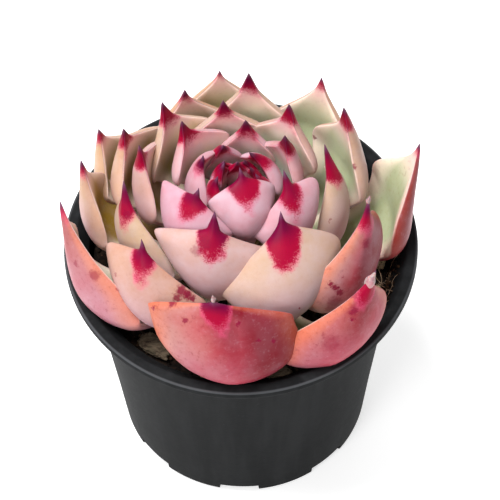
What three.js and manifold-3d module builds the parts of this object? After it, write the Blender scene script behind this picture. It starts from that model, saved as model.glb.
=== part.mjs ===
// A blue dragon echeveria in its plastic nursery pot. Millimetres, +Z up.
// The origin is the middle of the pot's flat underside. The front of the plant faces -Y.
// Every leaf is one solid that stands a hair clear of the short stem it grew from.

import * as THREE from 'three';
import { mergeVertices } from 'three/addons/utils/BufferGeometryUtils.js';
import Module from 'manifold-3d';

const wasm = await Module();
wasm.setup();

// Pot: an 11 cm nursery pot with a flat flange and a thin wall.
const POT_HEIGHT = 86.3;
const POT_RIM_RADIUS = 55;
const POT_MOUTH_RADIUS = 51.5;
const POT_NECK_RADIUS = 48.3;
const POT_BASE_RADIUS = 40.2;
const POT_WALL = 1.2;
const POT_FLOOR = 1.6;
const POT_SEGMENTS = 56;
const LIP_HEIGHT = 3.2;
const SHOULDER_DROP = 6.2;
const THROAT_DROP = 4.8;
const NECK_DROP = 8;
const DRAIN_NOTCHES = 8;
const FIRST_NOTCH_BEARING = -94;
const NOTCH_WIDTH = 13;
const NOTCH_HEIGHT = 2.4;
const NOTCH_INNER_RADIUS = 35;

// Potting mix, the short stem that stands in it, and what lies on it.
const SOIL_DROP = 9;
const SOIL_BUMP = 0.7;
const STEM_FOOT_RADIUS = 8.4;
const STEM_TOP_RADIUS = 6.4;
const STEM_DEPTH = 14;
const STEM_RISE = 10;

// Room between pieces that would touch, and how far down the rim the leaves are kept off it.
const GAP = 0.3;
const RIM_ROOM_DEPTH = 12;

// Leaf: its body narrows to a spike, whose half width grows at this rate from the point.
const SPIKE_RATE = 0.3;
const ROOT_WIDTH_SHARE = 0.26;
const BODY_GROWS_FROM = 0.06;
const BODY_FULL_AT = 0.675;
const LEAF_STATIONS = 12;
const LEAF_FACE_POINTS = 6;
const YOUNG_THICKNESS = 3;
const OLD_THICKNESS = 6.4;
const OUTER_SHARE = 0.72;
const KEEL_SHARE = 0.12;
const KEEL_BREADTH = 0.2;
const THICKEST_AT = 0.6;
const ROOT_THICKNESS_SHARE = 0.42;
const POINT_THINNING = 0.92;
const FLATTENS_FROM = 0.75;
const FLATTENING = 0.6;
const DRIFT_POWER = 1.6;
const STATION_CROWDING = 1.35;
const MARGIN_SWELL = 1.6;
const WIDEST_HOLLOW = 1.3;
const LOWEST_ROOT = -5;
const ROOT_CLIMB = 18;
const LEAVING_ANGLE = 2;
const LEAVING_CLIMB = 40;
const RISING_ANGLE = 84;

// The whorls, from the outermost in. Age runs from 1, the oldest leaf, to 0 at the heart.
// bearing: where the root sits round the stem; swing: how far the point drifts round from it.
// tip and belly: [distance from the stem's axis, height above the rim].
// cup: how strongly the blade is hollowed; square: how far up the leaf it is widest.
// spike and shoulder: how far from the point the body starts to widen, and where it is full.
const WHORLS = [
  {
    age: 1.0, width: 42, lean: -3, cup: 36, square: 1.35,
    leaves: [
      {
        bearing: -86, swing: -16, tip: [42, 32], belly: [49.5, 7.5], width: 43, lean: 8, roll: 4,
        cup: 45, square: 1.4, spike: 1.5, shoulder: 8,
      },
      {
        bearing: -72, swing: 32, tip: [51.5, 32], belly: [50.5, 7], width: 37, lean: -8, roll: -14,
        cup: 38, square: 1.4, spike: 2, shoulder: 26,
      },
      {
        bearing: 2, swing: 11, tip: [56.5, 32], belly: [49, 8], width: 40, lean: -14, spike: 3,
        shoulder: 36,
      },
      {
        bearing: 56, swing: 2, tip: [50, 27.5], belly: [46.5, 9], width: 43, lean: -6, roll: 4,
        spike: 4, shoulder: 32,
      },
      { bearing: 97, swing: -1, tip: [48.5, 25], belly: [48.5, 9], cup: 30, spike: 3, shoulder: 28 },
      {
        bearing: 144, swing: 4, tip: [50.5, 25], belly: [49, 10], width: 38, lean: -8, roll: 16,
        cup: 42, square: 1.6, spike: 5, shoulder: 30,
      },
      {
        bearing: -142, swing: -32, tip: [54, 33], belly: [49.5, 7], width: 41, lean: -12, roll: 14,
        square: 1.2, spike: 2, shoulder: 34,
      },
    ],
  },
  {
    age: 0.85, width: 38, lean: 0, cup: 34, square: 1.3,
    leaves: [
      {
        bearing: 174, swing: -5, tip: [48.5, 33], belly: [45.5, 11], width: 34, lean: -12, roll: 16,
        spike: 6, shoulder: 34,
      },
      { bearing: 112, swing: 0, tip: [42.7, 27], belly: [43, 11], spike: 4, shoulder: 26 },
      {
        bearing: -46, swing: 29, tip: [40, 38.5], belly: [40.5, 10.5], width: 43, lean: -4, roll: -12,
        cup: 42, square: 1.6, spike: 3, shoulder: 28,
      },
      {
        bearing: -118, swing: -28, tip: [35.5, 32.5], belly: [41.5, 13], width: 35, lean: 2, roll: 18,
        cup: 50, square: 1.7, spike: 3, shoulder: 14,
      },
      {
        bearing: 30, swing: 5, tip: [39.5, 38], belly: [40, 12], width: 36, roll: -8, square: 1.2,
        spike: 8, shoulder: 32,
      },
      {
        bearing: 84, swing: 0, tip: [37.5, 37.5], belly: [36.5, 12], width: 37, roll: 5, spike: 8,
        shoulder: 30,
      },
      {
        bearing: 144, swing: 6, tip: [40, 34], belly: [40, 12], width: 34, lean: -4, roll: 10, spike: 6,
        shoulder: 22,
      },
    ],
  },
  {
    age: 0.68, width: 34, lean: 2, cup: 36, square: 1.3,
    leaves: [
      {
        bearing: -150, swing: -26, tip: [34.5, 38], belly: [33.5, 15], width: 35, lean: -5, roll: 22,
        square: 1.1, spike: 5, shoulder: 28,
      },
      {
        bearing: 125, swing: 5, tip: [35.3, 37.5], belly: [32, 14], width: 33, lean: -5, roll: 16,
        square: 1.2, spike: 7, shoulder: 24,
      },
      {
        bearing: -82, swing: 30, tip: [19.5, 38.5], belly: [35.5, 13], width: 41, lean: 20, roll: -12,
        cup: 52, square: 1.5, spike: 3, shoulder: 20,
      },
      {
        bearing: -8, swing: 27, tip: [27.5, 38], belly: [29.5, 11], width: 35, lean: -3, roll: -20,
        cup: 44, spike: 9, shoulder: 28,
      },
      { bearing: 96, swing: 2, tip: [30, 34], belly: [30, 14], width: 33, spike: 6, shoulder: 18 },
      {
        bearing: 158, swing: 3, tip: [31.5, 38.5], belly: [30.5, 14], width: 34, lean: -12, roll: 24,
        spike: 6, shoulder: 22,
      },
      {
        bearing: 58, swing: 0, tip: [29.8, 37], belly: [28.5, 14], width: 31, roll: -8, spike: 8,
        shoulder: 22,
      },
    ],
  },
  {
    age: 0.48, width: 28, lean: 8, cup: 42, square: 1.4,
    leaves: [
      {
        bearing: -103, swing: -13, tip: [17, 39.5], belly: [28, 15.5], width: 38, lean: 20, roll: 18,
        cup: 50, square: 1.7, spike: 6, shoulder: 14,
      },
      {
        bearing: 48, swing: -6, tip: [19, 38], belly: [21, 17], width: 27, lean: 0, roll: -16, cup: 48,
        spike: 8, shoulder: 20,
      },
      {
        bearing: 123, swing: 7, tip: [26, 37], belly: [23.5, 18.5], width: 30, lean: 4, roll: 20,
        cup: 45, spike: 6, shoulder: 18,
      },
      { bearing: 82, swing: 1, tip: [20.5, 36], belly: [21, 17], width: 27, spike: 6, shoulder: 22 },
      {
        bearing: -142, swing: -7, tip: [14, 40], belly: [21, 21], width: 27, lean: 10, roll: 24,
        square: 1.6, spike: 3, shoulder: 10,
      },
      {
        bearing: -58, swing: 52, tip: [13.5, 40], belly: [20, 19], width: 28, lean: 6, roll: -36,
        square: 1.6, spike: 5, shoulder: 14,
      },
    ],
  },
  {
    age: 0.3, width: 20, lean: 8, cup: 44, square: 1.35,
    leaves: [
      {
        bearing: 156, swing: 0, tip: [11.5, 40], belly: [15, 19], width: 23, lean: -4, roll: 20,
        cup: 52, spike: 4, shoulder: 14,
      },
      { bearing: 109, swing: 2, tip: [12, 36], belly: [15.5, 23], width: 19, spike: 5, shoulder: 18 },
      {
        bearing: 22, swing: 42, tip: [7.5, 38], belly: [12.5, 22], width: 20, lean: 14, roll: -10,
        square: 1.5, spike: 4, shoulder: 13,
      },
      {
        bearing: -88, swing: 18, tip: [0.8, 41], belly: [12.5, 25], width: 21, lean: 18, roll: 8,
        square: 1.6, spike: 3, shoulder: 9,
      },
    ],
  },
];

// The innermost leaves are still packed in the growing point, as one body with it.
const HEART_LEAVES = [
  { bearing: 160, tip: [4.5, 40], belly: [6, 26], width: 8 },
  { bearing: 95, tip: [3.5, 38], belly: [6, 26], width: 9 },
  { bearing: -165, tip: [6.5, 38], belly: [8, 26], width: 12 },
  { bearing: 30, tip: [4, 37], belly: [6, 26], width: 9 },
  { bearing: 132, tip: [6.2, 37], belly: [8, 26], width: 11 },
  { bearing: -5, tip: [5, 37], belly: [8, 25], width: 10 },
];
const HEART_DEFAULTS = {
  age: 0.1, swing: 0, lean: 6, roll: 0, cup: 42, square: 1.25, spike: 3, shoulder: 10,
};
const HEART_FOOT_RADIUS = 4.6;
const HEART_ROOT_RADIUS = 2.5;
const HEART_ROOT_RISE = 3;

// Bits of bark and pumice on the mix: [x, y, length, breadth, height, turn in degrees].
const BARK_CHIPS = [
  [-26.5, -32.5, 11, 6, 3, -38],
  [43.2, -3.5, 6.5, 4, 3, 70],
  [10.5, -43.2, 7, 4.5, 3, -10],
];
const PUMICE_BITS = [
  [41.5, -14, 3.6, 3, 2.4, 0],
  [-38.5, -22, 3.4, 2.8, 2.2, 40],
  [34, 27.5, 3.8, 3, 2.4, 15],
];

const radians = THREE.MathUtils.degToRad;
const clamp = THREE.MathUtils.clamp;
const smoothstep = THREE.MathUtils.smoothstep;

// Turn a closed geometry into a solid that can be joined and cut.
function toSolid(geometry) {
  const bare = geometry.clone();
  bare.deleteAttribute('normal');
  bare.deleteAttribute('uv');
  const merged = mergeVertices(bare, 1e-4);
  return new wasm.Manifold(new wasm.Mesh({
    numProp: 3,
    vertProperties: new Float32Array(merged.attributes.position.array),
    triVerts: new Uint32Array(merged.index.array),
  }));
}

function toGeometry(solid) {
  const mesh = solid.getMesh();
  const geometry = new THREE.BufferGeometry();
  geometry.setAttribute('position', new THREE.BufferAttribute(new Float32Array(mesh.vertProperties), 3));
  geometry.setIndex(new THREE.BufferAttribute(new Uint32Array(mesh.triVerts), 1));
  geometry.computeVertexNormals();
  return geometry;
}

// The largest of the bodies that a cut leaves; loose scraps are dropped.
function largestBody(solid) {
  const bodies = solid.decompose();
  bodies.sort((a, b) => b.volume() - a.volume());
  return bodies[0];
}

// A profile of [radius, height] points turned round the Z axis, listed upwards on the outside.
function turned(profile, segments) {
  const points = profile.map(([radius, height]) => new THREE.Vector2(radius, height));
  const lathe = new THREE.LatheGeometry(points, segments);
  return lathe.rotateX(Math.PI / 2);
}

function hermite(from, to, leaving, arriving, t) {
  const t2 = t * t;
  const t3 = t2 * t;
  return (2 * t3 - 3 * t2 + 1) * from + (t3 - 2 * t2 + t) * leaving
    + (3 * t2 - 2 * t3) * to + (t3 - t2) * arriving;
}

function potWallProfile() {
  const top = POT_HEIGHT;
  return [
    [0, 0],
    [POT_BASE_RADIUS - 1, 0],
    [POT_BASE_RADIUS, 1],
    [POT_NECK_RADIUS, top - SHOULDER_DROP],
    [POT_NECK_RADIUS + 2, top - LIP_HEIGHT],
    [POT_RIM_RADIUS - 1.2, top - LIP_HEIGHT],
    [POT_RIM_RADIUS, top - 0.5],
    [POT_RIM_RADIUS - 0.5, top],
    [POT_MOUTH_RADIUS, top],
    [POT_NECK_RADIUS - POT_WALL + 0.3, top - THROAT_DROP],
    [POT_NECK_RADIUS - POT_WALL - 0.1, top - NECK_DROP],
    [POT_BASE_RADIUS - POT_WALL + 0.1, POT_FLOOR + 0.8],
    [POT_BASE_RADIUS - POT_WALL - 0.7, POT_FLOOR],
    [0, POT_FLOOR],
  ];
}

function innerWallRadius(z) {
  const neck = POT_HEIGHT - NECK_DROP;
  const share = clamp((z - POT_FLOOR) / (neck - POT_FLOOR), 0, 1);
  return THREE.MathUtils.lerp(POT_BASE_RADIUS, POT_NECK_RADIUS, share) - POT_WALL - 0.1;
}

// Scallops in the foot of the wall let water out between the pot and what it stands on.
function drainNotch(bearing) {
  const length = POT_BASE_RADIUS + 4 - NOTCH_INNER_RADIUS;
  const box = new THREE.BoxGeometry(length, NOTCH_WIDTH, 2 * NOTCH_HEIGHT);
  box.translate(NOTCH_INNER_RADIUS + length / 2, 0, 0);
  return toSolid(box.rotateZ(radians(bearing)));
}

function potSolid() {
  let pot = toSolid(turned(potWallProfile(), POT_SEGMENTS));
  for (let k = 0; k < DRAIN_NOTCHES; k += 1) {
    pot = pot.subtract(drainNotch(FIRST_NOTCH_BEARING + (k * 360) / DRAIN_NOTCHES));
  }
  return pot;
}

// Height of the lumpy surface of the potting mix.
function soilTop(x, y) {
  const lumps = Math.sin(x * 0.55 + 1.3) * Math.cos(y * 0.48 - 0.4)
    + 0.6 * Math.sin(x * 1.1 - y * 0.9 + 0.8) + 0.4 * Math.cos(x * 1.9 + y * 1.6);
  return POT_HEIGHT - SOIL_DROP + (SOIL_BUMP * lumps) / 2;
}

// The mix fills the pot a hair clear of its wall and has a plain hole for the stem.
function soilSolid() {
  const level = POT_HEIGHT - SOIL_DROP;
  const holeRadius = STEM_FOOT_RADIUS + GAP;
  const edge = innerWallRadius(level) - GAP;
  const profile = [[0, POT_FLOOR + GAP], [innerWallRadius(POT_FLOOR) - 1.2, POT_FLOOR + GAP]];
  profile.push([innerWallRadius(POT_FLOOR + 3) - GAP, POT_FLOOR + 3], [edge, level - 1.5]);
  const rings = 11;
  for (let i = 0; i <= rings; i += 1) {
    profile.push([THREE.MathUtils.lerp(edge - 0.4, holeRadius, i / rings), level]);
  }
  profile.push([holeRadius, level - STEM_DEPTH], [0, level - STEM_DEPTH]);
  const geometry = turned(profile, 42);
  const position = geometry.attributes.position;
  for (let i = 0; i < position.count; i += 1) {
    if (Math.abs(position.getZ(i) - level) < 0.01) {
      position.setZ(i, soilTop(position.getX(i), position.getY(i)));
    }
  }
  return toSolid(geometry);
}

function stemRadius(z) {
  const foot = POT_HEIGHT - SOIL_DROP;
  const share = clamp((z - foot) / (POT_HEIGHT + STEM_RISE - foot), 0, 1);
  return THREE.MathUtils.lerp(STEM_FOOT_RADIUS, STEM_TOP_RADIUS, share);
}

function stemSolid() {
  const foot = POT_HEIGHT - SOIL_DROP;
  const top = POT_HEIGHT + STEM_RISE;
  return toSolid(turned([
    [0, foot - STEM_DEPTH + GAP],
    [STEM_FOOT_RADIUS - 2, foot - STEM_DEPTH + GAP],
    [STEM_FOOT_RADIUS, foot - STEM_DEPTH + 3],
    [STEM_FOOT_RADIUS, foot],
    [STEM_TOP_RADIUS, top - 1],
    [STEM_TOP_RADIUS - 1.5, top],
    [0, top],
  ], 24));
}

// The midrib of a leaf in the upright plane through the stem: out from the root,
// round the belly and up to the point. Gives the place and the direction at a share of its length.
function midrib(leaf) {
  const rootHeight = leaf.rootHeight ?? LOWEST_ROOT + (1 - leaf.age) * ROOT_CLIMB;
  const rootRadius = leaf.rootRadius ?? stemRadius(POT_HEIGHT + rootHeight) + GAP + 0.2;
  const root = [rootRadius, rootHeight];
  const leaving = radians(LEAVING_ANGLE + (1 - leaf.age) * LEAVING_CLIMB);
  const rising = radians(RISING_ANGLE);
  const arriving = radians(90 + leaf.lean);
  const runOut = Math.hypot(leaf.belly[0] - root[0], leaf.belly[1] - root[1]);
  const runUp = Math.hypot(leaf.tip[0] - leaf.belly[0], leaf.tip[1] - leaf.belly[1]);
  const ways = [
    [root, leaf.belly, leaving, 1.25 * runOut, rising, 0.9 * runOut],
    [leaf.belly, leaf.tip, rising, runUp, arriving, 0.9 * runUp],
  ];
  const points = [new THREE.Vector2(...root)];
  const steps = 60;
  for (const [from, to, angleA, pullA, angleB, pullB] of ways) {
    for (let i = 1; i <= steps; i += 1) {
      points.push(new THREE.Vector2(
        hermite(from[0], to[0], pullA * Math.cos(angleA), pullB * Math.cos(angleB), i / steps),
        hermite(from[1], to[1], pullA * Math.sin(angleA), pullB * Math.sin(angleB), i / steps),
      ));
    }
  }
  return points;
}

// The same midrib with its points spread evenly, so that a share of its length picks a place.
function evenMidrib(leaf) {
  const points = midrib(leaf);
  const lengths = [0];
  for (let i = 1; i < points.length; i += 1) {
    lengths.push(lengths[i - 1] + points[i].distanceTo(points[i - 1]));
  }
  const total = lengths[lengths.length - 1];
  const at = (distance) => {
    const wanted = clamp(distance, 0, total);
    let i = 0;
    while (i < points.length - 2 && wanted > lengths[i + 1]) i += 1;
    const share = (wanted - lengths[i]) / (lengths[i + 1] - lengths[i]);
    return points[i].clone().lerp(points[i + 1], share);
  };
  return { at, total };
}

// Directions at one station: the middle of the blade, across it, and out of its inner face.
function stationFrame(leaf, rib, s) {
  const middle = rib.at(s * rib.total);
  const ahead = rib.at(s * rib.total + 0.4).sub(rib.at(s * rib.total - 0.4)).normalize();
  const bearing = radians(leaf.bearing + leaf.swing * s ** DRIFT_POWER);
  const outwards = new THREE.Vector3(Math.cos(bearing), Math.sin(bearing), 0);
  const sideways = new THREE.Vector3(-Math.sin(bearing), Math.cos(bearing), 0);
  const up = new THREE.Vector3(0, 0, 1);
  const centre = outwards.clone().multiplyScalar(middle.x).addScaledVector(up, POT_HEIGHT + middle.y);
  const inwards = outwards.clone().multiplyScalar(-ahead.y).addScaledVector(up, ahead.x);
  const roll = radians(leaf.roll * s);
  const across = sideways.clone().multiplyScalar(Math.cos(roll)).addScaledVector(inwards, Math.sin(roll));
  const inner = inwards.clone().multiplyScalar(Math.cos(roll)).addScaledVector(sideways, -Math.sin(roll));
  return { centre, across, inner, ahead: new THREE.Vector3().crossVectors(across, inner) };
}

function bladeThickness(leaf, s, halfWidth) {
  const full = THREE.MathUtils.lerp(YOUNG_THICKNESS, OLD_THICKNESS, leaf.age);
  const rise = Math.sin((Math.PI / 2) * Math.min(1, s / THICKEST_AT));
  const swelling = THREE.MathUtils.lerp(ROOT_THICKNESS_SHARE, 1, rise);
  const thinning = 1 - POINT_THINNING * Math.max(0, (s - THICKEST_AT) / (1 - THICKEST_AT)) ** 1.5;
  return Math.min(full * (s < THICKEST_AT ? swelling : thinning), 1.6 * halfWidth + 0.2);
}

// Half the width of the blade: a narrow spike at the point that swells into the body at the shoulders.
function halfWidthAt(leaf, rib, s) {
  const fromPoint = (1 - s) * rib.total;
  const growth = smoothstep(s ** leaf.square, BODY_GROWS_FROM, BODY_FULL_AT);
  const body = (leaf.width / 2) * (ROOT_WIDTH_SHARE + (1 - ROOT_WIDTH_SHARE) * growth);
  const spike = Math.min(SPIKE_RATE * fromPoint, body);
  return spike + (body - spike) * smoothstep(fromPoint, leaf.spike, leaf.shoulder);
}

// One ring of points round the blade: along the keeled outer face, then back along the hollow inner one.
function leafRing(leaf, rib, s, swell, facePoints) {
  const { centre, across, inner } = stationFrame(leaf, rib, s);
  const halfWidth = halfWidthAt(leaf, rib, s);
  const opening = 1 - FLATTENING * Math.max(0, (s - FLATTENS_FROM) / (1 - FLATTENS_FROM));
  const hollow = radians(leaf.cup) * Math.min(1, 0.25 + 1.1 * s) * opening;
  const thickness = bladeThickness(leaf, s, halfWidth);
  const keelGrowth = clamp((s - 0.45) / 0.3, 0, 1) * (1 - s) ** 0.3;
  const bend = halfWidth / Math.sin(hollow);
  const ring = [];
  for (let k = 0; k < 2 * facePoints; k += 1) {
    const q = -Math.cos((Math.PI * k) / facePoints);
    const outerFace = k < facePoints;
    const lens = Math.sqrt(Math.max(0, 1 - q * q));
    const keel = KEEL_SHARE * thickness * Math.exp(-((q / KEEL_BREADTH) ** 2)) * keelGrowth;
    const extra = k % facePoints === 0 ? 0 : swell;
    const depth = outerFace
      ? -(OUTER_SHARE * thickness + keel) * lens - extra
      : (1 - OUTER_SHARE) * thickness * lens + extra;
    const angle = q * Math.min(hollow * (1 + (MARGIN_SWELL * swell) / halfWidth), WIDEST_HOLLOW);
    const x = (bend - depth) * Math.sin(angle);
    const n = bend - (bend - depth) * Math.cos(angle);
    ring.push(centre.clone().addScaledVector(across, x).addScaledVector(inner, n));
  }
  return ring;
}

// Skin between the rings, with a flat root and a single point at the end.
function leafSolid(leaf, swell = 0, stations = LEAF_STATIONS, facePoints = LEAF_FACE_POINTS) {
  const rib = evenMidrib(leaf);
  const vertices = [];
  const faces = [];
  const around = 2 * facePoints;
  for (let i = 0; i < stations; i += 1) {
    const s = 1 - (1 - i / stations) ** STATION_CROWDING;
    leafRing(leaf, rib, s, swell, facePoints).forEach((point) => vertices.push(...point.toArray()));
  }
  const tip = vertices.length / 3;
  const end = stationFrame(leaf, rib, 1);
  vertices.push(...end.centre.addScaledVector(end.ahead, 3 * swell).toArray());
  const root = tip + 1;
  const start = stationFrame(leaf, rib, 0);
  vertices.push(...start.centre.addScaledVector(start.ahead, -swell).toArray());
  for (let k = 0; k < around; k += 1) {
    const next = (k + 1) % around;
    for (let i = 0; i < stations - 1; i += 1) {
      const a = i * around + k;
      const b = i * around + next;
      faces.push(a, b, b + around, a, b + around, a + around);
    }
    const last = (stations - 1) * around;
    faces.push(last + k, last + next, tip, root, next, k);
  }
  const geometry = new THREE.BufferGeometry();
  geometry.setAttribute('position', new THREE.BufferAttribute(new Float32Array(vertices), 3));
  geometry.setIndex(faces);
  return toSolid(geometry);
}

// Every leaf of the schedule with its whorl's usual values filled in.
function leafSchedule() {
  return WHORLS.flatMap(({ leaves, ...usual }) => leaves.map((leaf) => ({ roll: 0, ...usual, ...leaf })));
}

// The rim and mouth of the pot with a hair of room round them, for the leaves that rest there.
function rimWithRoom() {
  const top = POT_HEIGHT + GAP;
  const bottom = POT_HEIGHT - RIM_ROOM_DEPTH;
  const inside = POT_NECK_RADIUS - POT_WALL - GAP;
  return toSolid(turned([
    [inside, bottom],
    [POT_RIM_RADIUS + GAP, bottom],
    [POT_RIM_RADIUS + GAP, top],
    [POT_MOUTH_RADIUS - GAP, top],
    [inside, top - THROAT_DROP],
    [inside, bottom],
  ], POT_SEGMENTS));
}

// Where two leaves press together, the younger one gives way by the thickness of a hair.
function clearOf(older, solid) {
  let cleared = solid;
  for (const swollen of older) {
    if (cleared.intersect(swollen).volume() > 0) cleared = cleared.subtract(swollen);
  }
  return largestBody(cleared);
}

function heartSolid() {
  const foot = POT_HEIGHT + STEM_RISE + GAP;
  let heart = toSolid(turned([
    [0, foot],
    [HEART_FOOT_RADIUS, foot],
    [HEART_FOOT_RADIUS + 0.6, foot + 6],
    [HEART_FOOT_RADIUS - 0.6, foot + 13],
    [2, foot + 19],
    [0, foot + 21],
  ], 12));
  for (const leaf of HEART_LEAVES) {
    const root = { rootRadius: HEART_ROOT_RADIUS, rootHeight: STEM_RISE + HEART_ROOT_RISE };
    heart = heart.add(leafSolid({ ...HEART_DEFAULTS, ...leaf, ...root }, 0, 8, 4));
  }
  return heart;
}

// An irregular crumb with flat facets, lying just clear of the highest lump beneath it.
function crumbSolid([x, y, length, breadth, height, turn], jaggedness) {
  const geometry = new THREE.IcosahedronGeometry(0.5, 1);
  const position = geometry.attributes.position;
  const point = new THREE.Vector3();
  for (let i = 0; i < position.count; i += 1) {
    point.fromBufferAttribute(position, i);
    const dent = 1 + jaggedness * Math.sin(7 * point.x + 5 * point.y + x) * Math.cos(6 * point.z + y);
    point.multiplyScalar(dent);
    position.setXYZ(i, point.x, point.y, clamp(point.z, -0.3, 0.4));
  }
  geometry.scale(length, breadth, height);
  geometry.rotateZ(radians(turn));
  geometry.computeBoundingBox();
  let highest = -Infinity;
  for (let dx = -length / 2; dx <= length / 2; dx += 0.5) {
    for (let dy = -length / 2; dy <= length / 2; dy += 0.5) {
      highest = Math.max(highest, soilTop(x + dx, y + dy));
    }
  }
  geometry.translate(x, y, highest + GAP - geometry.boundingBox.min.z);
  return toSolid(geometry);
}

const group = new THREE.Group();

function addPiece(name, solid, color, roughness) {
  const material = new THREE.MeshStandardMaterial({ color, roughness, metalness: 0 });
  const mesh = new THREE.Mesh(toGeometry(solid), material);
  mesh.name = name;
  group.add(mesh);
}

function leafColour(age) {
  const young = new THREE.Color(0xd98aa8);
  const middle = new THREE.Color(0xd9c3ab);
  const old = new THREE.Color(0xe0806b);
  return age < 0.7 ? young.lerp(middle, age / 0.7) : middle.lerp(old, (age - 0.7) / 0.3);
}

function addRosette() {
  const schedule = leafSchedule();
  const swollen = schedule.map((leaf) => leafSolid(leaf, GAP));
  const rim = rimWithRoom();
  schedule.forEach((leaf, index) => {
    const number = String(index + 1).padStart(2, '0');
    const solid = clearOf([rim, ...swollen.slice(0, index)], leafSolid(leaf));
    addPiece(`leaf_${number}`, solid, leafColour(leaf.age), 0.55);
  });
  addPiece('heart', clearOf(swollen, heartSolid()), 0xb3123f, 0.5);
}

function addPottedMix() {
  addPiece('pot', potSolid(), 0x2e3032, 0.45);
  addPiece('soil', soilSolid(), 0x1c1714, 0.95);
  addPiece('stem', stemSolid(), 0x8a7a5a, 0.8);
  BARK_CHIPS.forEach((chip, index) => {
    addPiece(`bark_chip_${index + 1}`, crumbSolid(chip, 0.25), 0x6f6154, 0.9);
  });
  PUMICE_BITS.forEach((bit, index) => {
    addPiece(`pumice_${index + 1}`, crumbSolid(bit, 0.15), 0xb39b78, 0.95);
  });
}

addPottedMix();
addRosette();

export default group;
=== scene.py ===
# %% [markdown]
# # A blue dragon echeveria in a nursery pot
# A rosette of thick pointed leaves sits on a short stem in a black plastic pot. This lesson dresses the
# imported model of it: every CAD solid is already in the right place, and each cell below puts a finer
# piece over one kind of solid, then gives it a finish. The first cell loads the model.

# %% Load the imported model
import random
from math import copysign, cos, pi, radians, sin, sqrt
from types import SimpleNamespace

import bmesh
import bpy
import numpy as np
from mathutils import Matrix, Vector, noise
from mathutils.bvhtree import BVHTree


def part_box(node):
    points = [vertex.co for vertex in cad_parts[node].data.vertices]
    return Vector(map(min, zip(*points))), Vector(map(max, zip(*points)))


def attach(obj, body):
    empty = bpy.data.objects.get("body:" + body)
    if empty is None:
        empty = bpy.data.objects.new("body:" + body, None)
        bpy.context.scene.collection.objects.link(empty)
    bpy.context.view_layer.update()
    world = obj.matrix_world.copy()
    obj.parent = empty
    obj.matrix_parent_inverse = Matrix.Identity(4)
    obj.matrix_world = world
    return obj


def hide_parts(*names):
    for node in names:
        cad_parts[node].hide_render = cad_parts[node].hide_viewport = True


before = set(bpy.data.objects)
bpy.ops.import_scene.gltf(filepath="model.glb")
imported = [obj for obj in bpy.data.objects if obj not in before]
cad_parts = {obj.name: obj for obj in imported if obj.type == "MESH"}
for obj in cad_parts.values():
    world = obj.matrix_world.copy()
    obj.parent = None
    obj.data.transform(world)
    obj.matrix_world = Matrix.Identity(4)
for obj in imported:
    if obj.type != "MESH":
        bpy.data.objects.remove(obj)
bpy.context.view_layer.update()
MM = 0.001


def link_piece(name, data):
    """A new object with this data, linked to the scene."""
    piece = bpy.data.objects.new(name, data)
    bpy.context.scene.collection.objects.link(piece)
    return piece


# %% [markdown]
# ## Camera
# The photographer looked down into the rosette from the front, with a long lens from a little under a
# metre. A long lens keeps the far leaves nearly as large as the near ones. The camera could be placed by
# eye, but here it is set from four numbers: what it aims at, how steeply it looks down, how far away it
# stands and its focal length. A slight roll and a small shift put the plant where it stands in the frame.

# %% Place the camera
POT_HEIGHT = 86.3
FRAME_PIXELS = 500
CAMERA_DISTANCE = 850 * MM
CAMERA_ELEVATION = radians(55.83)
CAMERA_ROLL = radians(1.61)
FOCAL_PIXELS = 2736.8

camera_data = bpy.data.cameras.new("camera")
camera_data.sensor_fit = "HORIZONTAL"
camera_data.sensor_width = 36
camera_data.lens = camera_data.sensor_width * FOCAL_PIXELS / FRAME_PIXELS
camera_data.shift_x = 0.0185
camera_data.shift_y = -0.0153
camera = link_piece("camera", camera_data)
bpy.context.scene.camera = camera

forward = Vector((0, cos(CAMERA_ELEVATION), -sin(CAMERA_ELEVATION)))
level_right = Vector((1, 0, 0))
level_up = level_right.cross(forward)
right = level_right * cos(CAMERA_ROLL) - level_up * sin(CAMERA_ROLL)
up = level_up * cos(CAMERA_ROLL) + level_right * sin(CAMERA_ROLL)
placing = Matrix((right, up, -forward)).transposed().to_4x4()
placing.translation = Vector((0, 0, POT_HEIGHT * MM)) - forward * CAMERA_DISTANCE
camera.matrix_world = placing


def sight_line(x, y):
    """The line of sight through one pixel of the frame: where it starts and which way it goes."""
    across = (x + 0.5) / FRAME_PIXELS - 0.5 + camera_data.shift_x
    upwards = 0.5 - (y + 0.5) / FRAME_PIXELS + camera_data.shift_y
    reach = camera_data.sensor_width / camera_data.lens
    way = forward + right * across * reach + up * upwards * reach
    return placing.translation, way.normalized()


print("camera stands at", [round(v / MM) for v in placing.translation], "mm, lens", round(camera_data.lens, 1))

# %% [markdown]
# ## Light and floor
# The plant was lit softly on a white table. Most of the light falls from above and a little from the
# left, a weaker window stands at the front left, and the right and the back get only a faint fill. A
# bright surround makes the shadows on the table nearly vanish. A floor of plain diffuse white would show
# a grey shadow, so part of its white is its own glow, as on a lit white sweep.

# %% Light the scene
SURROUND_STRENGTH = 0.38
LIT_SPOT = Vector((0, 0, 0.09))
SOFT_LIGHTS = [
    # name, place in m, size in m, watts
    ("window_light", (-0.6, -0.9, 0.95), 0.5, 6.0),
    ("ceiling_light", (-0.4, 0.05, 1.32), 0.7, 22.0),
    ("fill_light", (0.9, -0.5, 0.7), 0.8, 0.5),
    ("back_light", (0.1, 0.9, 0.9), 0.7, 1.5),
]

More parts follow.
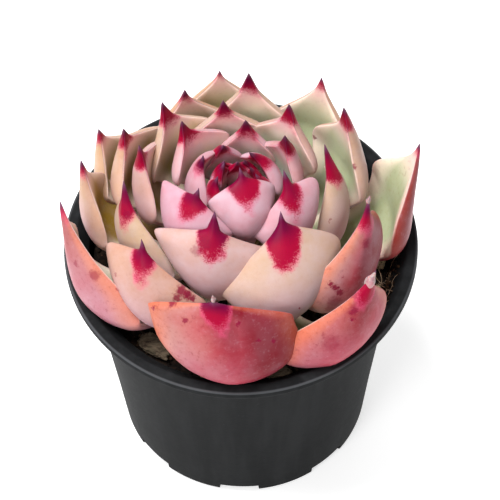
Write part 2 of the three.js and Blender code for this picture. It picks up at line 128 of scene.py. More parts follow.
view = bpy.context.scene.view_settings
view.view_transform = "Standard"
view.look = "None"
world = bpy.data.worlds.new("surround")
bpy.context.scene.world = world
world.use_nodes = True
world.node_tree.nodes["Background"].inputs["Color"].default_value = (1, 1, 1, 1)
world.node_tree.nodes["Background"].inputs["Strength"].default_value = SURROUND_STRENGTH
for light_name, place, size, watts in SOFT_LIGHTS:
    lamp = bpy.data.lights.new(light_name, "AREA")
    lamp.shape = "DISK"
    lamp.size = size
    lamp.energy = watts
    light = link_piece(light_name, lamp)
    light.location = place
    light.rotation_euler = (LIT_SPOT - Vector(place)).to_track_quat("-Z", "Y").to_euler()
print("lights:", [name for name, *_ in SOFT_LIGHTS])

# %% Lay the floor
FLOOR_HALF = 2.0
TABLE_WHITE = {
    "Base Color": (0.78, 0.78, 0.78, 1), "Roughness": 0.9, "Specular IOR Level": 0.1,
    "Emission Color": (1, 1, 1, 1), "Emission Strength": 0.6,
}
floor_mesh = bpy.data.meshes.new("table_top")
corners = [(x * FLOOR_HALF, y * FLOOR_HALF, 0) for x, y in [(-1, -1), (1, -1), (1, 1), (-1, 1)]]
floor_mesh.from_pydata(corners, [], [(0, 1, 2, 3)])
table_top = link_piece("table_top", floor_mesh)
white = bpy.data.materials.new("white_table")
white.use_nodes = True
for label, value in TABLE_WHITE.items():
    white.node_tree.nodes["Principled BSDF"].inputs[label].default_value = value
floor_mesh.materials.append(white)
print("floor laid,", 2 * FLOOR_HALF, "m square")

# %% [markdown]
# ## Writing node trees as sums
# Geometry and shader trees below hold a lot of arithmetic. Placing a Math node for each plus sign by hand
# is slow to read, so a small class stands for an output socket and turns Python's own signs into nodes.

# %% A wire that can be added, multiplied and powered


def socket_of(sockets, key):
    """A socket by its number, or the enabled one of that name."""
    return sockets[key] if isinstance(key, int) else next(s for s in sockets if s.name == key and s.enabled)


def plug(slot, value):
    """Feeds one input of a node from a wire, or sets it to a plain value."""
    if isinstance(value, Wire):
        value.tree.links.new(value.socket, slot)
    else:
        slot.default_value = value


def add(tree, kind, inputs=None, out=0, **settings):
    """Adds a node, feeds its inputs by name or number, and returns a wire from one of its outputs."""
    made = tree.nodes.new(kind)
    for key, value in settings.items():
        setattr(made, key, value)
    for key, value in (inputs or {}).items():
        plug(socket_of(made.inputs, key), value)
    return Wire(tree, socket_of(made.outputs, out))


class Wire:
    """An output socket of a tree that can be used in a sum."""

    def __init__(self, tree, socket):
        self.tree = tree
        self.socket = socket

    def beside(self, name):
        """Another output of the same node."""
        return Wire(self.tree, self.socket.node.outputs[name])

    def math(self, operation, *others, **settings):
        """A Math node fed from this wire and then from the others."""
        inputs = dict(enumerate((self, *others)))
        return add(self.tree, "ShaderNodeMath", inputs, operation=operation, **settings)

    def vector(self, operation, other, slot=1, out=0):
        """A Vector Math node fed from this wire and the other."""
        return add(self.tree, "ShaderNodeVectorMath", {0: self, slot: other}, out=out, operation=operation)

    def then(self, kind, inputs=None, **settings):
        """The next geometry node of a chain."""
        return add(self.tree, "GeometryNode" + kind, {0: self, **(inputs or {})}, **settings)

    def distance(self, other):
        return self.vector("DISTANCE", other, out="Value")

    def scaled(self, factor):
        return self.vector("SCALE", factor, slot="Scale")

    def __neg__(self):
        return self * -1

    def __rsub__(self, other):
        return -self + other

    def clamp(self):
        return self.math("ADD", 0, use_clamp=True)

    def bell(self, spread):
        """1 where the wire is 0, falling away on both sides of it."""
        return ((self / spread).abs() ** 2.0 * -1).math("EXPONENT")

    def ease(self, low, high):
        """0 below low, 1 above high and a smooth rise between them; low may be the larger one."""
        values = {"Value": self, "From Min": low, "From Max": high, "To Min": 0.0, "To Max": 1.0}
        return add(self.tree, "ShaderNodeMapRange", values, interpolation_type="SMOOTHSTEP")


def math_method(operation):
    """A method of Wire that adds one Math node."""
    return lambda wire, *others: wire.math(operation, *others)


for method, operation in {
    "__add__": "ADD", "__radd__": "ADD", "__sub__": "SUBTRACT", "__mul__": "MULTIPLY", "__rmul__": "MULTIPLY",
    "__truediv__": "DIVIDE", "__pow__": "POWER", "sin": "SINE", "cos": "COSINE", "sqrt": "SQRT",
    "radians": "RADIANS", "abs": "ABSOLUTE", "floor": "FLOOR", "remainder": "MODULO", "below": "LESS_THAN",
    "least": "MINIMUM", "most": "MAXIMUM",
}.items():
    setattr(Wire, method, math_method(operation))


def spot(x, y, z):
    """A vector from three values, at least one of them a wire."""
    tree = next(value.tree for value in (x, y, z) if isinstance(value, Wire))
    return add(tree, "ShaderNodeCombineXYZ", {"X": x, "Y": y, "Z": z})


print("node helpers ready")

# %% [markdown]
# ## Trees that make a mesh
# Each tree has named inputs for its sizes. The tree is run on a carrier object, the result is kept as a
# plain mesh with its place in its vertices, and the carrier is removed. An input is set through its
# socket's identifier, because names may repeat. Pieces that are simpler to count out point by point are
# made without a tree, and every finished piece is settled on the body in the same way.

# %% Start a tree, and bake one


def new_tree(name, inputs):
    """A geometry tree with the named inputs. Gives the tree, its input wires and its output node."""
    tree = bpy.data.node_groups.new(name, "GeometryNodeTree")
    tree.interface.new_socket("Geometry", in_out="OUTPUT", socket_type="NodeSocketGeometry")
    for label, kind in inputs.items():
        tree.interface.new_socket(label, in_out="INPUT", socket_type="NodeSocket" + kind)
    entry = tree.nodes.new("NodeGroupInput")
    wires = {label: Wire(tree, entry.outputs[label]) for label in inputs}
    return tree, wires, tree.nodes.new("NodeGroupOutput")


def bake(tree, name, values, base=None):
    """Runs a tree with these values and keeps the result as a plain mesh object."""
    carrier = link_piece(name + "_carrier", base or bpy.data.meshes.new(name + "_base"))
    rule = carrier.modifiers.new("rule", "NODES")
    rule.node_group = tree
    for item in tree.interface.items_tree:
        if item.in_out == "INPUT" and item.name in values:
            rule[item.identifier] = values[item.name]
    graph = bpy.context.evaluated_depsgraph_get()
    mesh = bpy.data.meshes.new_from_object(
        carrier.evaluated_get(graph), preserve_all_data_layers=True, depsgraph=graph
    )
    bpy.data.objects.remove(carrier)
    mesh.name = name
    return link_piece(name, mesh)


# %% Meshes from points, and settling a piece


def signed_volume(mesh):
    """Positive when the faces point outwards."""
    mesh.calc_loop_triangles()
    points = np.array([v.co for v in mesh.vertices])
    corners = np.array([t.vertices for t in mesh.loop_triangles])
    a, b, c = points[corners[:, 0]], points[corners[:, 1]], points[corners[:, 2]]
    return float((a * np.cross(b, c)).sum() / 6)


def new_mesh(name, points, faces, closed=False):
    """A mesh of these points and faces. The faces of a closed one are turned outwards."""
    mesh = bpy.data.meshes.new(name)
    mesh.from_pydata(points, [], faces)
    mesh.update()
    if closed and signed_volume(mesh) < 0:
        mesh.flip_normals()
    return mesh


def tube_faces(start, steps, sides):
    """The faces of a tube of rings whose first point has the number start, closed at both ends."""
    faces = []
    for i in range(steps):
        for k in range(sides):
            a, b = start + i * sides + k, start + i * sides + (k + 1) % sides
            faces.append((a, b, b + sides, a + sides))
    last = start + steps * sides
    return faces + [tuple(range(start + sides - 1, start - 1, -1)), tuple(range(last, last + sides))]


def settle(piece, material, slot, *nodes):
    """Takes a material, rides on the one body, and stands for the nodes it hides; its slot is not used."""
    piece.data.materials.clear()
    piece.data.materials.append(material)
    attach(piece, "root")
    if nodes:
        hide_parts(*nodes)


print("mesh helpers ready")

# %% [markdown]
# ## One leaf, as a rule
# A real echeveria leaf grows out flat from the stem, bends upwards round its belly and narrows fast
# into a hard point. Its outer face is swollen with a blunt keel down the middle, and its inner face is
# hollow like a spoon. It could be sculpted 31 times over. Every leaf follows the same rule though, so one
# tree makes them all: a grid is rolled round a midrib of two curves, and only the sizes differ.

# %% The tree that grows a leaf
LEAF_WORDS = ("Bearing", "Swing", "Width", "Lean", "Roll", "Cup", "Square", "Age", "Spike", "Shoulder")
LEAF_PLACES = ("Root", "Belly", "Tip")
LEAF_SIZES = [f"{place} {axis}" for place in LEAF_PLACES for axis in ("Radius", "Height")]
LEAF_INPUTS = {
    "Stations": "Int", "Face Points": "Int",
    **dict.fromkeys([*LEAF_WORDS, *LEAF_SIZES, "Thickness", "Unevenness", "Seed"], "Float"),
}
RISING_ANGLE = radians(84)
CURVE_POINTS = 60
CROWDING = 1.35
BASE_SHARE = 0.26
OUTER_SHARE = 0.72
KEEL_SHARE = 0.12
WIDEST_HOLLOW = 1.3
SPIKE_RATE = 0.3
MERGE_WITHIN = 1e-6


def midrib_curve(tree, size):
    """Two curves end to end: out from the root round the belly, then up to the point."""
    def ray(length, angle):
        across, up = (angle.cos(), angle.sin()) if isinstance(angle, Wire) else (cos(angle), sin(angle))
        return spot(length * across, 0, length * up)

    root, belly, tip = (spot(size[place + " Radius"], 0, size[place + " Height"]) for place in LEAF_PLACES)
    run_out, run_up = root.distance(belly), belly.distance(tip)
    leaving = ((1 - size["Age"]) * 40 + 2).radians()
    arriving = (size["Lean"] + 90).radians()
    joined = tree.nodes.new("GeometryNodeJoinGeometry")
    for start, end, angle_a, pull_a, angle_b, pull_b in [
        (belly, tip, RISING_ANGLE, run_up * (1 / 3), arriving, run_up * (0.9 / 3)),
        (root, belly, leaving, run_out * (1.25 / 3), RISING_ANGLE, run_out * (0.9 / 3)),
    ]:
        half = add(tree, "GeometryNodeCurvePrimitiveBezierSegment", {
            "Resolution": CURVE_POINTS, "Start": start, "End": end,
            "Start Handle": start.vector("ADD", ray(pull_a, angle_a)),
            "End Handle": end.vector("SUBTRACT", ray(pull_b, angle_b)),
        })
        tree.links.new(half.socket, joined.inputs[0])
    return Wire(tree, joined.outputs[0])


def leaf_tree():
    """Rolls a grid round the midrib: one row for each station, one ring of columns round the blade."""
    tree, size, exit_node = new_tree("leaf_blade", LEAF_INPUTS)
    columns = size["Face Points"] * 2 + 1
    index = add(tree, "GeometryNodeInputIndex")
    row = ((index + 0.5) / columns).floor()
    column = index - row * columns
    step = column.remainder(size["Face Points"] * 2)
    share_of_rows = ((row - 1) / size["Stations"]).clamp()
    s = 1 - (1 - share_of_rows) ** CROWDING
    q = -((step * pi / size["Face Points"]).cos())
    outer = step.below(size["Face Points"] - 0.5)
    on_skin = (-row).below(-0.5) * row.below(size["Stations"] + 1.5)

    midrib = midrib_curve(tree, size)
    length = add(tree, "GeometryNodeCurveLength", {"Curve": midrib})
    place = add(tree, "GeometryNodeSampleCurve", {"Curves": midrib, "Factor": s}, out="Position",
                mode="FACTOR", use_all_curves=True)
    rho = add(tree, "ShaderNodeSeparateXYZ", {0: place})
    d_rho = add(tree, "ShaderNodeSeparateXYZ", {0: place.beside("Tangent")})
    height, d_height = rho.beside("Z"), d_rho.beside("Z")

    # a broad base, the belly at two thirds of the length, and a narrow spike at the point
    from_point = (1 - s) * length
    body = size["Width"] / 2 * ((s ** size["Square"]).ease(0.06, 0.675) * (1 - BASE_SHARE) + BASE_SHARE)
    spike = (from_point * SPIKE_RATE).least(body)
    half_width = spike + (body - spike) * from_point.ease(size["Spike"], size["Shoulder"])

    # hollow like a spoon, flatter again over the last quarter, and thickest in the middle
    opening = 1 - ((s - 0.75) / 0.25).clamp() * 0.6
    hollow = size["Cup"].radians() * (s * 1.1 + 0.25).least(1.0) * opening
    swelling = (((s / 0.6).least(1.0) * (pi / 2)).sin()) * 0.58 + 0.42
    thinning = 1 - ((s - 0.6) / 0.4).clamp() ** 1.5 * 0.92
    thickness = (size["Thickness"] * swelling * thinning).least(half_width * 1.6 + 0.2)
    keel_growth = ((s - 0.45) / 0.3).clamp() * (1 - s).most(0.0) ** 0.3
    keel = thickness * KEEL_SHARE * keel_growth * q.bell(0.2)
    lens = (1 - q * q).most(0.0).sqrt()
    outer_depth = -((thickness * OUTER_SHARE + keel) * lens)
    inner_depth = thickness * (1 - OUTER_SHARE) * lens
    depth = outer * outer_depth + (1 - outer) * inner_depth

    # each row is bent to an arc, and the skin lies on both sides of it
    bend = half_width / hollow.sin()
    angle = q * hollow.least(WIDEST_HOLLOW)
    x = (bend - depth) * angle.sin() * on_skin
    n = (bend - (bend - depth) * angle.cos()) * on_skin
    ripple = add(tree, "ShaderNodeTexNoise", {
        "Vector": spot(x, s * length, 0), "W": size["Seed"], "Scale": 0.11, "Detail": 1.5,
    }, noise_dimensions="4D")
    n = n + (ripple - 0.5) * size["Unevenness"] * (s * (1 - s) * 4) * on_skin

    # turned about the midrib, then swung round the stem
    roll = (size["Roll"] * s).radians()
    bearing = (size["Bearing"] + size["Swing"] * s ** 1.6).radians()
    sideways = x * roll.cos() - n * roll.sin()
    inwards = x * roll.sin() + n * roll.cos()
    radial = rho - d_height * inwards
    lift = height + POT_HEIGHT + d_rho * inwards
    position = spot(
        (radial * bearing.cos() - sideways * bearing.sin()) * MM,
        (radial * bearing.sin() + sideways * bearing.cos()) * MM,
        lift * MM,
    )

    face = lens * (1 - outer * 2)
    shaped = add(tree, "GeometryNodeMeshGrid", {"Vertices X": size["Stations"] + 3, "Vertices Y": columns})
    for label, field in dict(share=s, across=q, face=face, from_point=from_point, breadth=half_width).items():
        shaped = shaped.then("StoreNamedAttribute", {"Name": label, "Value": field}, data_type="FLOAT")
    shaped = shaped.then("SetPosition", {"Position": position})
    shaped = shaped.then("MergeByDistance", {"Distance": MERGE_WITHIN}).then("FlipFaces")
    plug(exit_node.inputs[0], shaped.then("SetShadeSmooth", {"Shade Smooth": True}))
    return tree


blade_tree = leaf_tree()
print("leaf tree has", len(blade_tree.nodes), "nodes")

# %% [markdown]
# ## The schedule of leaves
# The rosette climbs inwards in five whorls. Each leaf has the bearing of its root, the drift of its
# point, where its belly and its point are, its width, and how it leans, rolls and hollows. The last
# words are the skin: sun is how far the light has turned it coral and how far painted shade darkens its
# hollow face, pink how lilac it is, olive how yellow its hollow face is, mark how far the crimson runs
# down from the point in mm, and the last word which of its sides is redder and darker, partly pigment
# and partly painted shade.

# %% The whorls


def grown(bearing, swing, tip, belly, spike, shoulder, **words):
    """One leaf: its bearing and swing in degrees, its point and belly as (radius, height) in mm, and how
    far from the point it begins and ends to widen."""
    return dict(bearing=bearing, swing=swing, tip=tip, belly=belly, spike=spike, shoulder=shoulder, **words)


WHORLS = [
    (dict(age=1.0, width=42, lean=-3, cup=36, square=1.35, sun=0.85, pink=0.1, olive=0.1, mark=2), [
        grown(-86, -16, (42, 32), (49.5, 7.5), 1.5, 8, width=43, lean=8, roll=4, cup=45, square=1.4, sun=1.0,
              mark=9, ruddy=1.1),
        grown(-72, 32, (51.5, 32), (50.5, 7), 2, 26, width=37, lean=-8, roll=-14, cup=38, square=1.4, sun=1.0,
              mark=8, ruddy=0.3),
        grown(2, 11, (56.5, 32), (49, 8), 3, 36, width=40, lean=-14, sun=0.5, mark=3, olive=0.1, ruddy=-0.7),
        grown(56, 2, (50, 27.5), (46.5, 9), 4, 32, width=43, lean=-6, roll=4, sun=0.2, mark=4),
        grown(97, -1, (48.5, 25), (48.5, 9), 3, 28, cup=30, sun=0.2, olive=0.5, mark=3),
        grown(144, 4, (50.5, 25), (49, 10), 5, 30, width=38, lean=-8, roll=16, cup=42, square=1.6, sun=0.15,
              olive=0.8, mark=5),
        grown(-142, -32, (54, 33), (49.5, 7), 2, 34, width=41, lean=-12, roll=14, square=1.2, sun=0.7,
              pink=0.4, mark=3, ruddy=-0.3),
    ]),
    (dict(age=0.85, width=38, lean=0, cup=34, square=1.3, sun=0.4, pink=0.15, olive=0.2, mark=9), [
        grown(174, -5, (48.5, 33), (45.5, 11), 6, 34, width=34, lean=-12, roll=16, sun=0.2, pink=0.2,
              olive=1.0, mark=5),
        grown(112, 0, (42.7, 27), (43, 11), 4, 26, sun=0.2, olive=0.5, mark=6),
        grown(-46, 29, (40, 38.5), (40.5, 10.5), 3, 28, width=43, lean=-4, roll=-12, cup=42, square=1.6,
              sun=0.85, mark=8, ruddy=1.8),
        grown(-118, -28, (35.5, 32.5), (41.5, 13), 3, 14, width=35, lean=2, roll=18, cup=50, square=1.7,
              sun=0.25, pink=0.25, mark=10),
        grown(30, 5, (39.5, 38), (40, 12), 8, 32, width=36, roll=-8, square=1.2, sun=0.15, olive=0.1),
        grown(84, 0, (37.5, 37.5), (36.5, 12), 8, 30, width=37, roll=5, sun=0.1, olive=0.1, mark=10),
        grown(144, 6, (40, 34), (40, 12), 6, 22, width=34, lean=-4, roll=10, sun=0.2, olive=0.9),
    ]),
    (dict(age=0.68, width=34, lean=2, cup=36, square=1.3, sun=0.1, pink=0.2, olive=0.15, mark=10), [
        grown(-150, -26, (34.5, 38), (33.5, 15), 5, 28, width=35, lean=-5, roll=22, square=1.1, pink=0.1,
              olive=0.8, mark=12),
        grown(125, 5, (35.3, 37.5), (32, 14), 7, 24, width=33, lean=-5, roll=16, square=1.2, pink=0.1,
              olive=0.6),
        grown(-82, 30, (19.5, 38.5), (35.5, 13), 3, 20, width=41, lean=20, roll=-12, cup=52, square=1.5,
              mark=16),
        grown(-8, 27, (27.5, 38), (29.5, 11), 9, 28, width=35, lean=-3, roll=-20, cup=44, pink=0.1, sun=0.1,
              mark=12),
        grown(96, 2, (30, 34), (30, 14), 6, 18, width=33, mark=9),
        grown(158, 3, (31.5, 38.5), (30.5, 14), 6, 22, width=34, lean=-12, roll=24, pink=0.5, olive=0.9),
        grown(58, 0, (29.8, 37), (28.5, 14), 8, 22, width=31, roll=-8, pink=0.4, mark=9),
    ]),
    (dict(age=0.48, width=28, lean=8, cup=42, square=1.4, sun=0.08, pink=0.7, olive=0.05, mark=10), [
        grown(-103, -13, (17, 39.5), (28, 15.5), 6, 14, width=38, lean=20, roll=18, cup=50, square=1.7,
              pink=0.45, mark=15),
        grown(48, -6, (19, 38), (21, 17), 8, 20, width=27, lean=0, roll=-16, cup=48, sun=0.2, mark=10),
        grown(123, 7, (26, 37), (23.5, 18.5), 6, 18, width=30, lean=4, roll=20, cup=45, olive=0.6),
        grown(82, 1, (20.5, 36), (21, 17), 6, 22, width=27, mark=9),
        grown(-142, -7, (14, 40), (21, 21), 3, 10, width=27, lean=10, roll=24, square=1.6, pink=1.0, mark=10),
        grown(-58, 52, (13.5, 40), (20, 19), 5, 14, width=28, lean=6, roll=-36, square=1.6, pink=0.9,
              mark=11),
    ]),
    (dict(age=0.3, width=20, lean=8, cup=44, square=1.35, sun=0.05, pink=0.9, olive=0, mark=10), [
        grown(156, 0, (11.5, 40), (15, 19), 4, 14, width=23, lean=-4, roll=20, cup=52, mark=7.5),
        grown(109, 2, (12, 36), (15.5, 23), 5, 18, width=19, mark=8),
        grown(22, 42, (7.5, 38), (12.5, 22), 4, 13, width=20, lean=14, roll=-10, square=1.5, mark=9),
        grown(-88, 18, (0.8, 41), (12.5, 25), 3, 9, width=21, lean=18, roll=8, square=1.6, mark=12),
    ]),
]
LEAVES = [{"roll": 0, "ruddy": 0, **usual, **leaf} for usual, leaves in WHORLS for leaf in leaves]
print("leaves:", len(LEAVES))

# %% [markdown]
# ## Colours of the skin
# The colours are named in the 0 to 255 numbers that a paint chart would use, and turned into
# the linear values that the renderer works in.

# %% Name the colours


def paint(red, green, blue):
    """A colour chart's numbers as a linear colour."""
    def linear(v):
        v /= 255
        return v / 12.92 if v <= 0.04045 else ((v + 0.055) / 1.055) ** 2.4
    return (linear(red), linear(green), linear(blue), 1)


CORAL = paint(172, 58, 76)
RUDDY = paint(122, 16, 32)
OCHRE = paint(200, 106, 76)
PEACH = paint(198, 180, 138)
PALE_PINK = paint(214, 160, 172)
CREAM = paint(164, 144, 126)
LILAC = paint(184, 130, 152)
CHALK = paint(204, 186, 200)
SAGE = paint(188, 200, 158)
COOL_SAGE = paint(184, 206, 188)
OLIVE = paint(176, 142, 54)
# The next three colours are painted shade for the hollow faces.
SHADE_SAGE = paint(142, 152, 108)
SHADE_OLIVE = paint(116, 90, 34)
COOL_SHADE = paint(128, 150, 134)
STRAW = paint(216, 188, 128)
EDGE_CREAM = paint(250, 236, 212)
EDGE_PINK = paint(240, 168, 176)
CRIMSON = paint(154, 0, 46)
MAGENTA = paint(92, 0, 50)
HOT_PINK = paint(214, 78, 118)
VIOLET_GREY = paint(112, 78, 104)
print("crimson as the renderer has it:", [round(v, 3) for v in CRIMSON[:3]])

# %% [markdown]
# ## Marks on the skin
# The photograph shows single crimson patches, scars and freckles on the front leaves. Each is placed by
# the pixel where it is seen: a line of sight finds the spot on the leaf, and the shader paints a ball
# round that spot. The ball's edge is broken up with noise, so it reads as pigment under the skin.

# %% The list of marks
SKIN_MARKS = [
    # pixel x, y, radius in mm, strength
    (185, 320, 1.1, 0.8), (238, 323, 0.9, 0.8), (258, 340, 0.7, 0.8), (273, 341, 0.8, 0.9),
    (75, 263, 1.3, 0.55), (94, 275, 1.9, 0.6), (115, 274, 0.7, 0.5), (117, 289, 0.7, 0.5),
    (181, 290, 1.9, 0.9), (187, 294, 1.9, 0.95), (192, 298, 1.2, 0.9), (172, 303, 1.3, 0.85),
    (177, 297, 1.5, 0.85), (183, 286, 1.2, 0.8), (153, 308, 0.9, 0.85),
    (330, 283, 0.9, 0.9), (333, 286, 1.0, 0.9), (336, 288, 1.1, 0.9), (339, 292, 1.4, 0.8),
    (334, 302, 2.6, 0.55), (330, 308, 2.0, 0.45), (299, 308, 0.5, 0.9),
    (353, 311, 1.5, 0.75), (352, 319, 0.9, 0.9), (354, 295, 1.3, 0.5), (330, 343, 3.2, 0.4),
    (353, 167, 1.1, 0.8), (314, 137, 1.0, 0.7), (329, 220, 0.6, 0.6), (342, 277, 0.5, 0.7),
    (196, 250, 2.0, 0.45), (203, 243, 2.4, 0.5), (366, 243, 1.6, 0.6), (126, 214, 1.8, 0.6),
]
print("marks:", len(SKIN_MARKS))

# %% [markdown]
# ## The leaf skin
# A leaf's skin is built in layers, as a painter would: the outer face from cream to coral, paler low
# down, partly its own tone and partly a painted sheen, and darker red on one side, partly pigment and
# partly painted shade; the hollow face from sage to olive with paler margins and painted shade towards
# its base and on sun-reddened leaves; then the crimson point that breaks into grains where it ends, the
# violet grey of its very tip, the marks, and a chalky bloom on top. Every layer follows the leaf through
# the attributes that its tree stored, and noise on Object coordinates breaks it up.

# %% A material to start from


def finish(name, rule, **surface):
    """A material. Uniform values go straight on its sockets, and the rule wires the rest from the place."""
    material = bpy.data.materials.new(name)
    material.use_nodes = True
    principled = material.node_tree.nodes["Principled BSDF"]
    for label, value in surface.items():
        principled.inputs[label.replace("_", " ")].default_value = value
    where = add(material.node_tree, "ShaderNodeTexCoord", out="Object")
    for label, wire in rule(where).items():
        plug(principled.inputs[label], wire)
    return material


def mixed(factor, a, b):
    """Colour a where the factor is 0, colour b where it is 1."""
    return add(factor.tree, "ShaderNodeMix", {"Factor": factor, "A": a, "B": b}, out="Result", data_type="RGBA")


def attribute(tree, name):
    return add(tree, "ShaderNodeAttribute", out="Fac", attribute_name=name)


def speckle(where, per_metre, detail=2.0, roughness=0.5):
    return add(where.tree, "ShaderNodeTexNoise",
               {"Vector": where, "Scale": per_metre, "Detail": detail, "Roughness": roughness})


def shaken(noise_colour, amount):
    """A shift of up to half the amount each way, from the colour of a noise."""
    return noise_colour.vector("SUBTRACT", (0.5, 0.5, 0.5)).scaled(amount)


def relief(height, depth, strength):
    """Bumps from a height in 0..1, of the given depth in metres."""
    return add(height.tree, "ShaderNodeBump", {"Height": height, "Distance": depth, "Strength": strength})


print("material helpers ready")

# %% The leaf skin's node tree
SKIN_WORDS = ("sun", "pink", "olive", "mark", "ruddy")
EDGE_SHAKE = 2.6 * MM


def outer_face(at):
    """Cream or lilac skin, paler low down (partly its own tone, partly a painted sheen), coral where the sun
    has reached, ochre along its upper margin, and darker red on one side (partly pigment, partly painted
    shade).
    """
    young = mixed(at.pink, mixed(at.olive * 0.7, CREAM, STRAW), LILAC)
    # Partly its own paler tone and partly a painted sheen: the lower part of the outer face is lilac-white.
    low = at.share.ease(0.88, 0.55)
    young = mixed(low * 0.8, young, mixed(at.pink * 0.5 + 0.3, CHALK, LILAC))
    redder = at.across * at.ruddy + (at.ruddy.abs() - 1).clamp()
    flush = at.sun * (at.blotch * 0.9 + 0.5) * (at.share.ease(0.15, 0.55) * 0.5 + 0.5)
    flush = (flush + redder * 0.6).clamp()
    skin = mixed(flush, young, CORAL)
    rim = at.across.abs().ease(0.5, 1.0) * at.share.ease(0.4, 0.7)
    high = (at.from_point - at.mark).ease(16.0, 2.0)
    warm = mixed(at.sun, mixed(at.pink, PEACH, PALE_PINK), OCHRE)
    skin = mixed(rim.most(high * (1 - at.sun * 0.8)) * (0.8 - redder).clamp() * 0.8, skin, warm)
    below_mark = (at.from_point - at.mark).ease(20.0, 0.0)
    keel = (at.side - at.ruddy * 2.0).bell(5.0) * below_mark
    # Partly pigment and partly painted shade: one side of the outer face is painted a darker red.
    red_shaded_flank = redder.ease(0.05, 0.6) * at.share.ease(0.25, 0.55) * (at.blotch * 0.7 + 0.65)
    skin = mixed((keel * at.sun * 0.8).most(red_shaded_flank).clamp(), skin, RUDDY)
    brim = at.across.abs().ease(0.6, 0.98) * at.share.ease(0.45, 0.65) * at.sun
    return mixed(brim * 0.45, skin, OCHRE)


def hollow_face(at):
    """Sage green or olive in the hollow with painted shade towards its base and on sun-reddened leaves,
    cream towards the margins and pink near the point.
    """
    green = mixed(at.olive, mixed(at.pink, SAGE, COOL_SAGE), OLIVE)
    shade = mixed(at.olive, mixed(at.pink, SHADE_SAGE, COOL_SHADE), SHADE_OLIVE)
    # Painted shade: the hollow is darkened towards its base, and all over on sun-reddened leaves.
    green_with_painted_shade = mixed(at.share.ease(0.66, 0.3).most(at.sun), green, shade)
    margin = (at.across.abs() + (at.blotch - 0.5) * 0.4).ease(0.4, 1.0)
    near_point = (at.from_point - at.mark * 0.8).ease(15.0, 2.0)
    edge = mixed(at.pink * 0.4, EDGE_CREAM, EDGE_PINK)
    skin = mixed(margin.most(near_point * 0.85), green_with_painted_shade, edge)
    redder = (at.across * at.ruddy).ease(0.35, 0.95)
    brink = at.across.abs().ease(0.9, 1.0) * 0.5
    flush = (near_point ** 3.0).most(brink) * (0.4 + at.pink * 0.5)
    return mixed(flush.most(redder * 0.8), skin, mixed(redder, EDGE_PINK, CORAL))


def crimson_depth(at):
    """How many mm inside the crimson a place is: a tongue down the keel, a straighter edge inside."""
    tongue = (at.side / (at.mark * 0.15 + 2.6)).abs() ** 2.0
    outer_reach = at.mark * (1 - tongue * 0.6)
    inner_reach = (at.mark * 0.8).least(9.0)
    reach = outer_reach + (inner_reach - outer_reach) * at.inner
    return reach + (at.blotch + at.smudge - 1) * at.mark * 0.5 - at.from_point


def marks_share(at, spots):
    """How far inside the nearest mark a point is, 0 outside and the mark's strength in its middle."""
    total = None
    for centre, radius, strength in spots:
        inside = at.shaken.distance(centre).ease(radius * 1.25 * MM, radius * 0.45 * MM) * strength
        total = inside if total is None else total.most(inside)
    return total


def leaf_skin(where, spots):
    """All layers of the skin, from the ground colour up to the bloom, the crimson and the marks."""
    tree = where.tree
    names = ("share", "across", "face", "from_point", "breadth", "bloom", *SKIN_WORDS)
    at = SimpleNamespace(**{name: attribute(tree, name) for name in names})
    at.side = at.across * at.breadth
    at.blotch = speckle(where, 70, 2.0)
    at.smudge = speckle(where, 260, 3.0)
    at.grain = speckle(where, 2300, 1.5, 0.6)
    at.inner = at.face.ease(-0.12, 0.12)
    shake = add(tree, "ShaderNodeTexNoise", {"Vector": where, "Scale": 1300, "Detail": 3.0}, out="Color")
    at.shaken = where.vector("ADD", shaken(shake, EDGE_SHAKE))

    skin = mixed(at.inner, outer_face(at), hollow_face(at))
    mottle = speckle(where, 700, 4.0, 0.7)
    skin = mixed(mottle.ease(0.5, 0.85) * 0.16, skin, CHALK)
    skin = mixed(mottle.ease(0.48, 0.25) * (at.sun * 0.45 + 0.05), skin, RUDDY)
    freckle = speckle(where, 1300, 3.0, 0.6).ease(0.64, 0.76) * (at.sun * 0.6 + 0.06)
    skin = mixed(freckle * 0.45, skin, RUDDY)
    chalk = at.bloom * speckle(where, 160, 3.0).ease(0.3, 0.7)
    skin = mixed(chalk, skin, CHALK)

    depth = crimson_depth(at)
    glow = depth + (speckle(where, 420, 3.0) - 0.5) * 6.0
    skin = mixed(glow.ease(-4.0, 1.0) * 0.7, skin, HOT_PINK)
    wine = (at.from_point / at.mark + (at.blotch - 0.5) * 1.2).ease(0.8, 0.1)
    crimson = mixed(wine, CRIMSON, MAGENTA)
    covered = (depth / 2.8 + (at.grain - 0.5) * (at.mark * 0.14 + 0.5)).ease(-0.8, 0.6)
    tinted = mixed(covered, skin, crimson)
    tinted = mixed(marks_share(at, spots), tinted, mixed(at.grain, MAGENTA, CRIMSON))
    extreme = at.from_point.ease(3.0, 0.4)
    hairline = at.face.abs().ease(0.14, 0.02) * at.from_point.ease(20.0, 6.0) * 0.5
    tinted = mixed((extreme * 0.7).most(hairline), tinted, VIOLET_GREY)
    cells = add(tree, "ShaderNodeTexVoronoi", {"Vector": where, "Scale": 2600.0}, out="Distance")
    return {
        "Base Color": tinted,
        "Roughness": at.bloom * 0.2 + at.blotch * 0.14 + 0.32,
        "Normal": relief(cells * 0.4 + speckle(where, 500, 3.0), 0.12 * MM, 0.5),
    }


print("leaf skin described")

# %% [markdown]
# ## Growing the leaves
# Each leaf is baked from the tree with its own sizes. The skin words of the schedule then go on its
# points as attributes. The bloom is strongest on the young leaves, and rain and handling have wiped it
# off the old ones.

# %% Grow all the leaves
STEM_FOOT_RADIUS = 8.4
STEM_TOP_RADIUS = 6.4
STATIONS = 64
FACE_POINTS = 32
SLOT_OF_WHORL = ["outer_leaf", "second_leaf", "middle_leaf", "inner_leaf", "heart_leaf"]


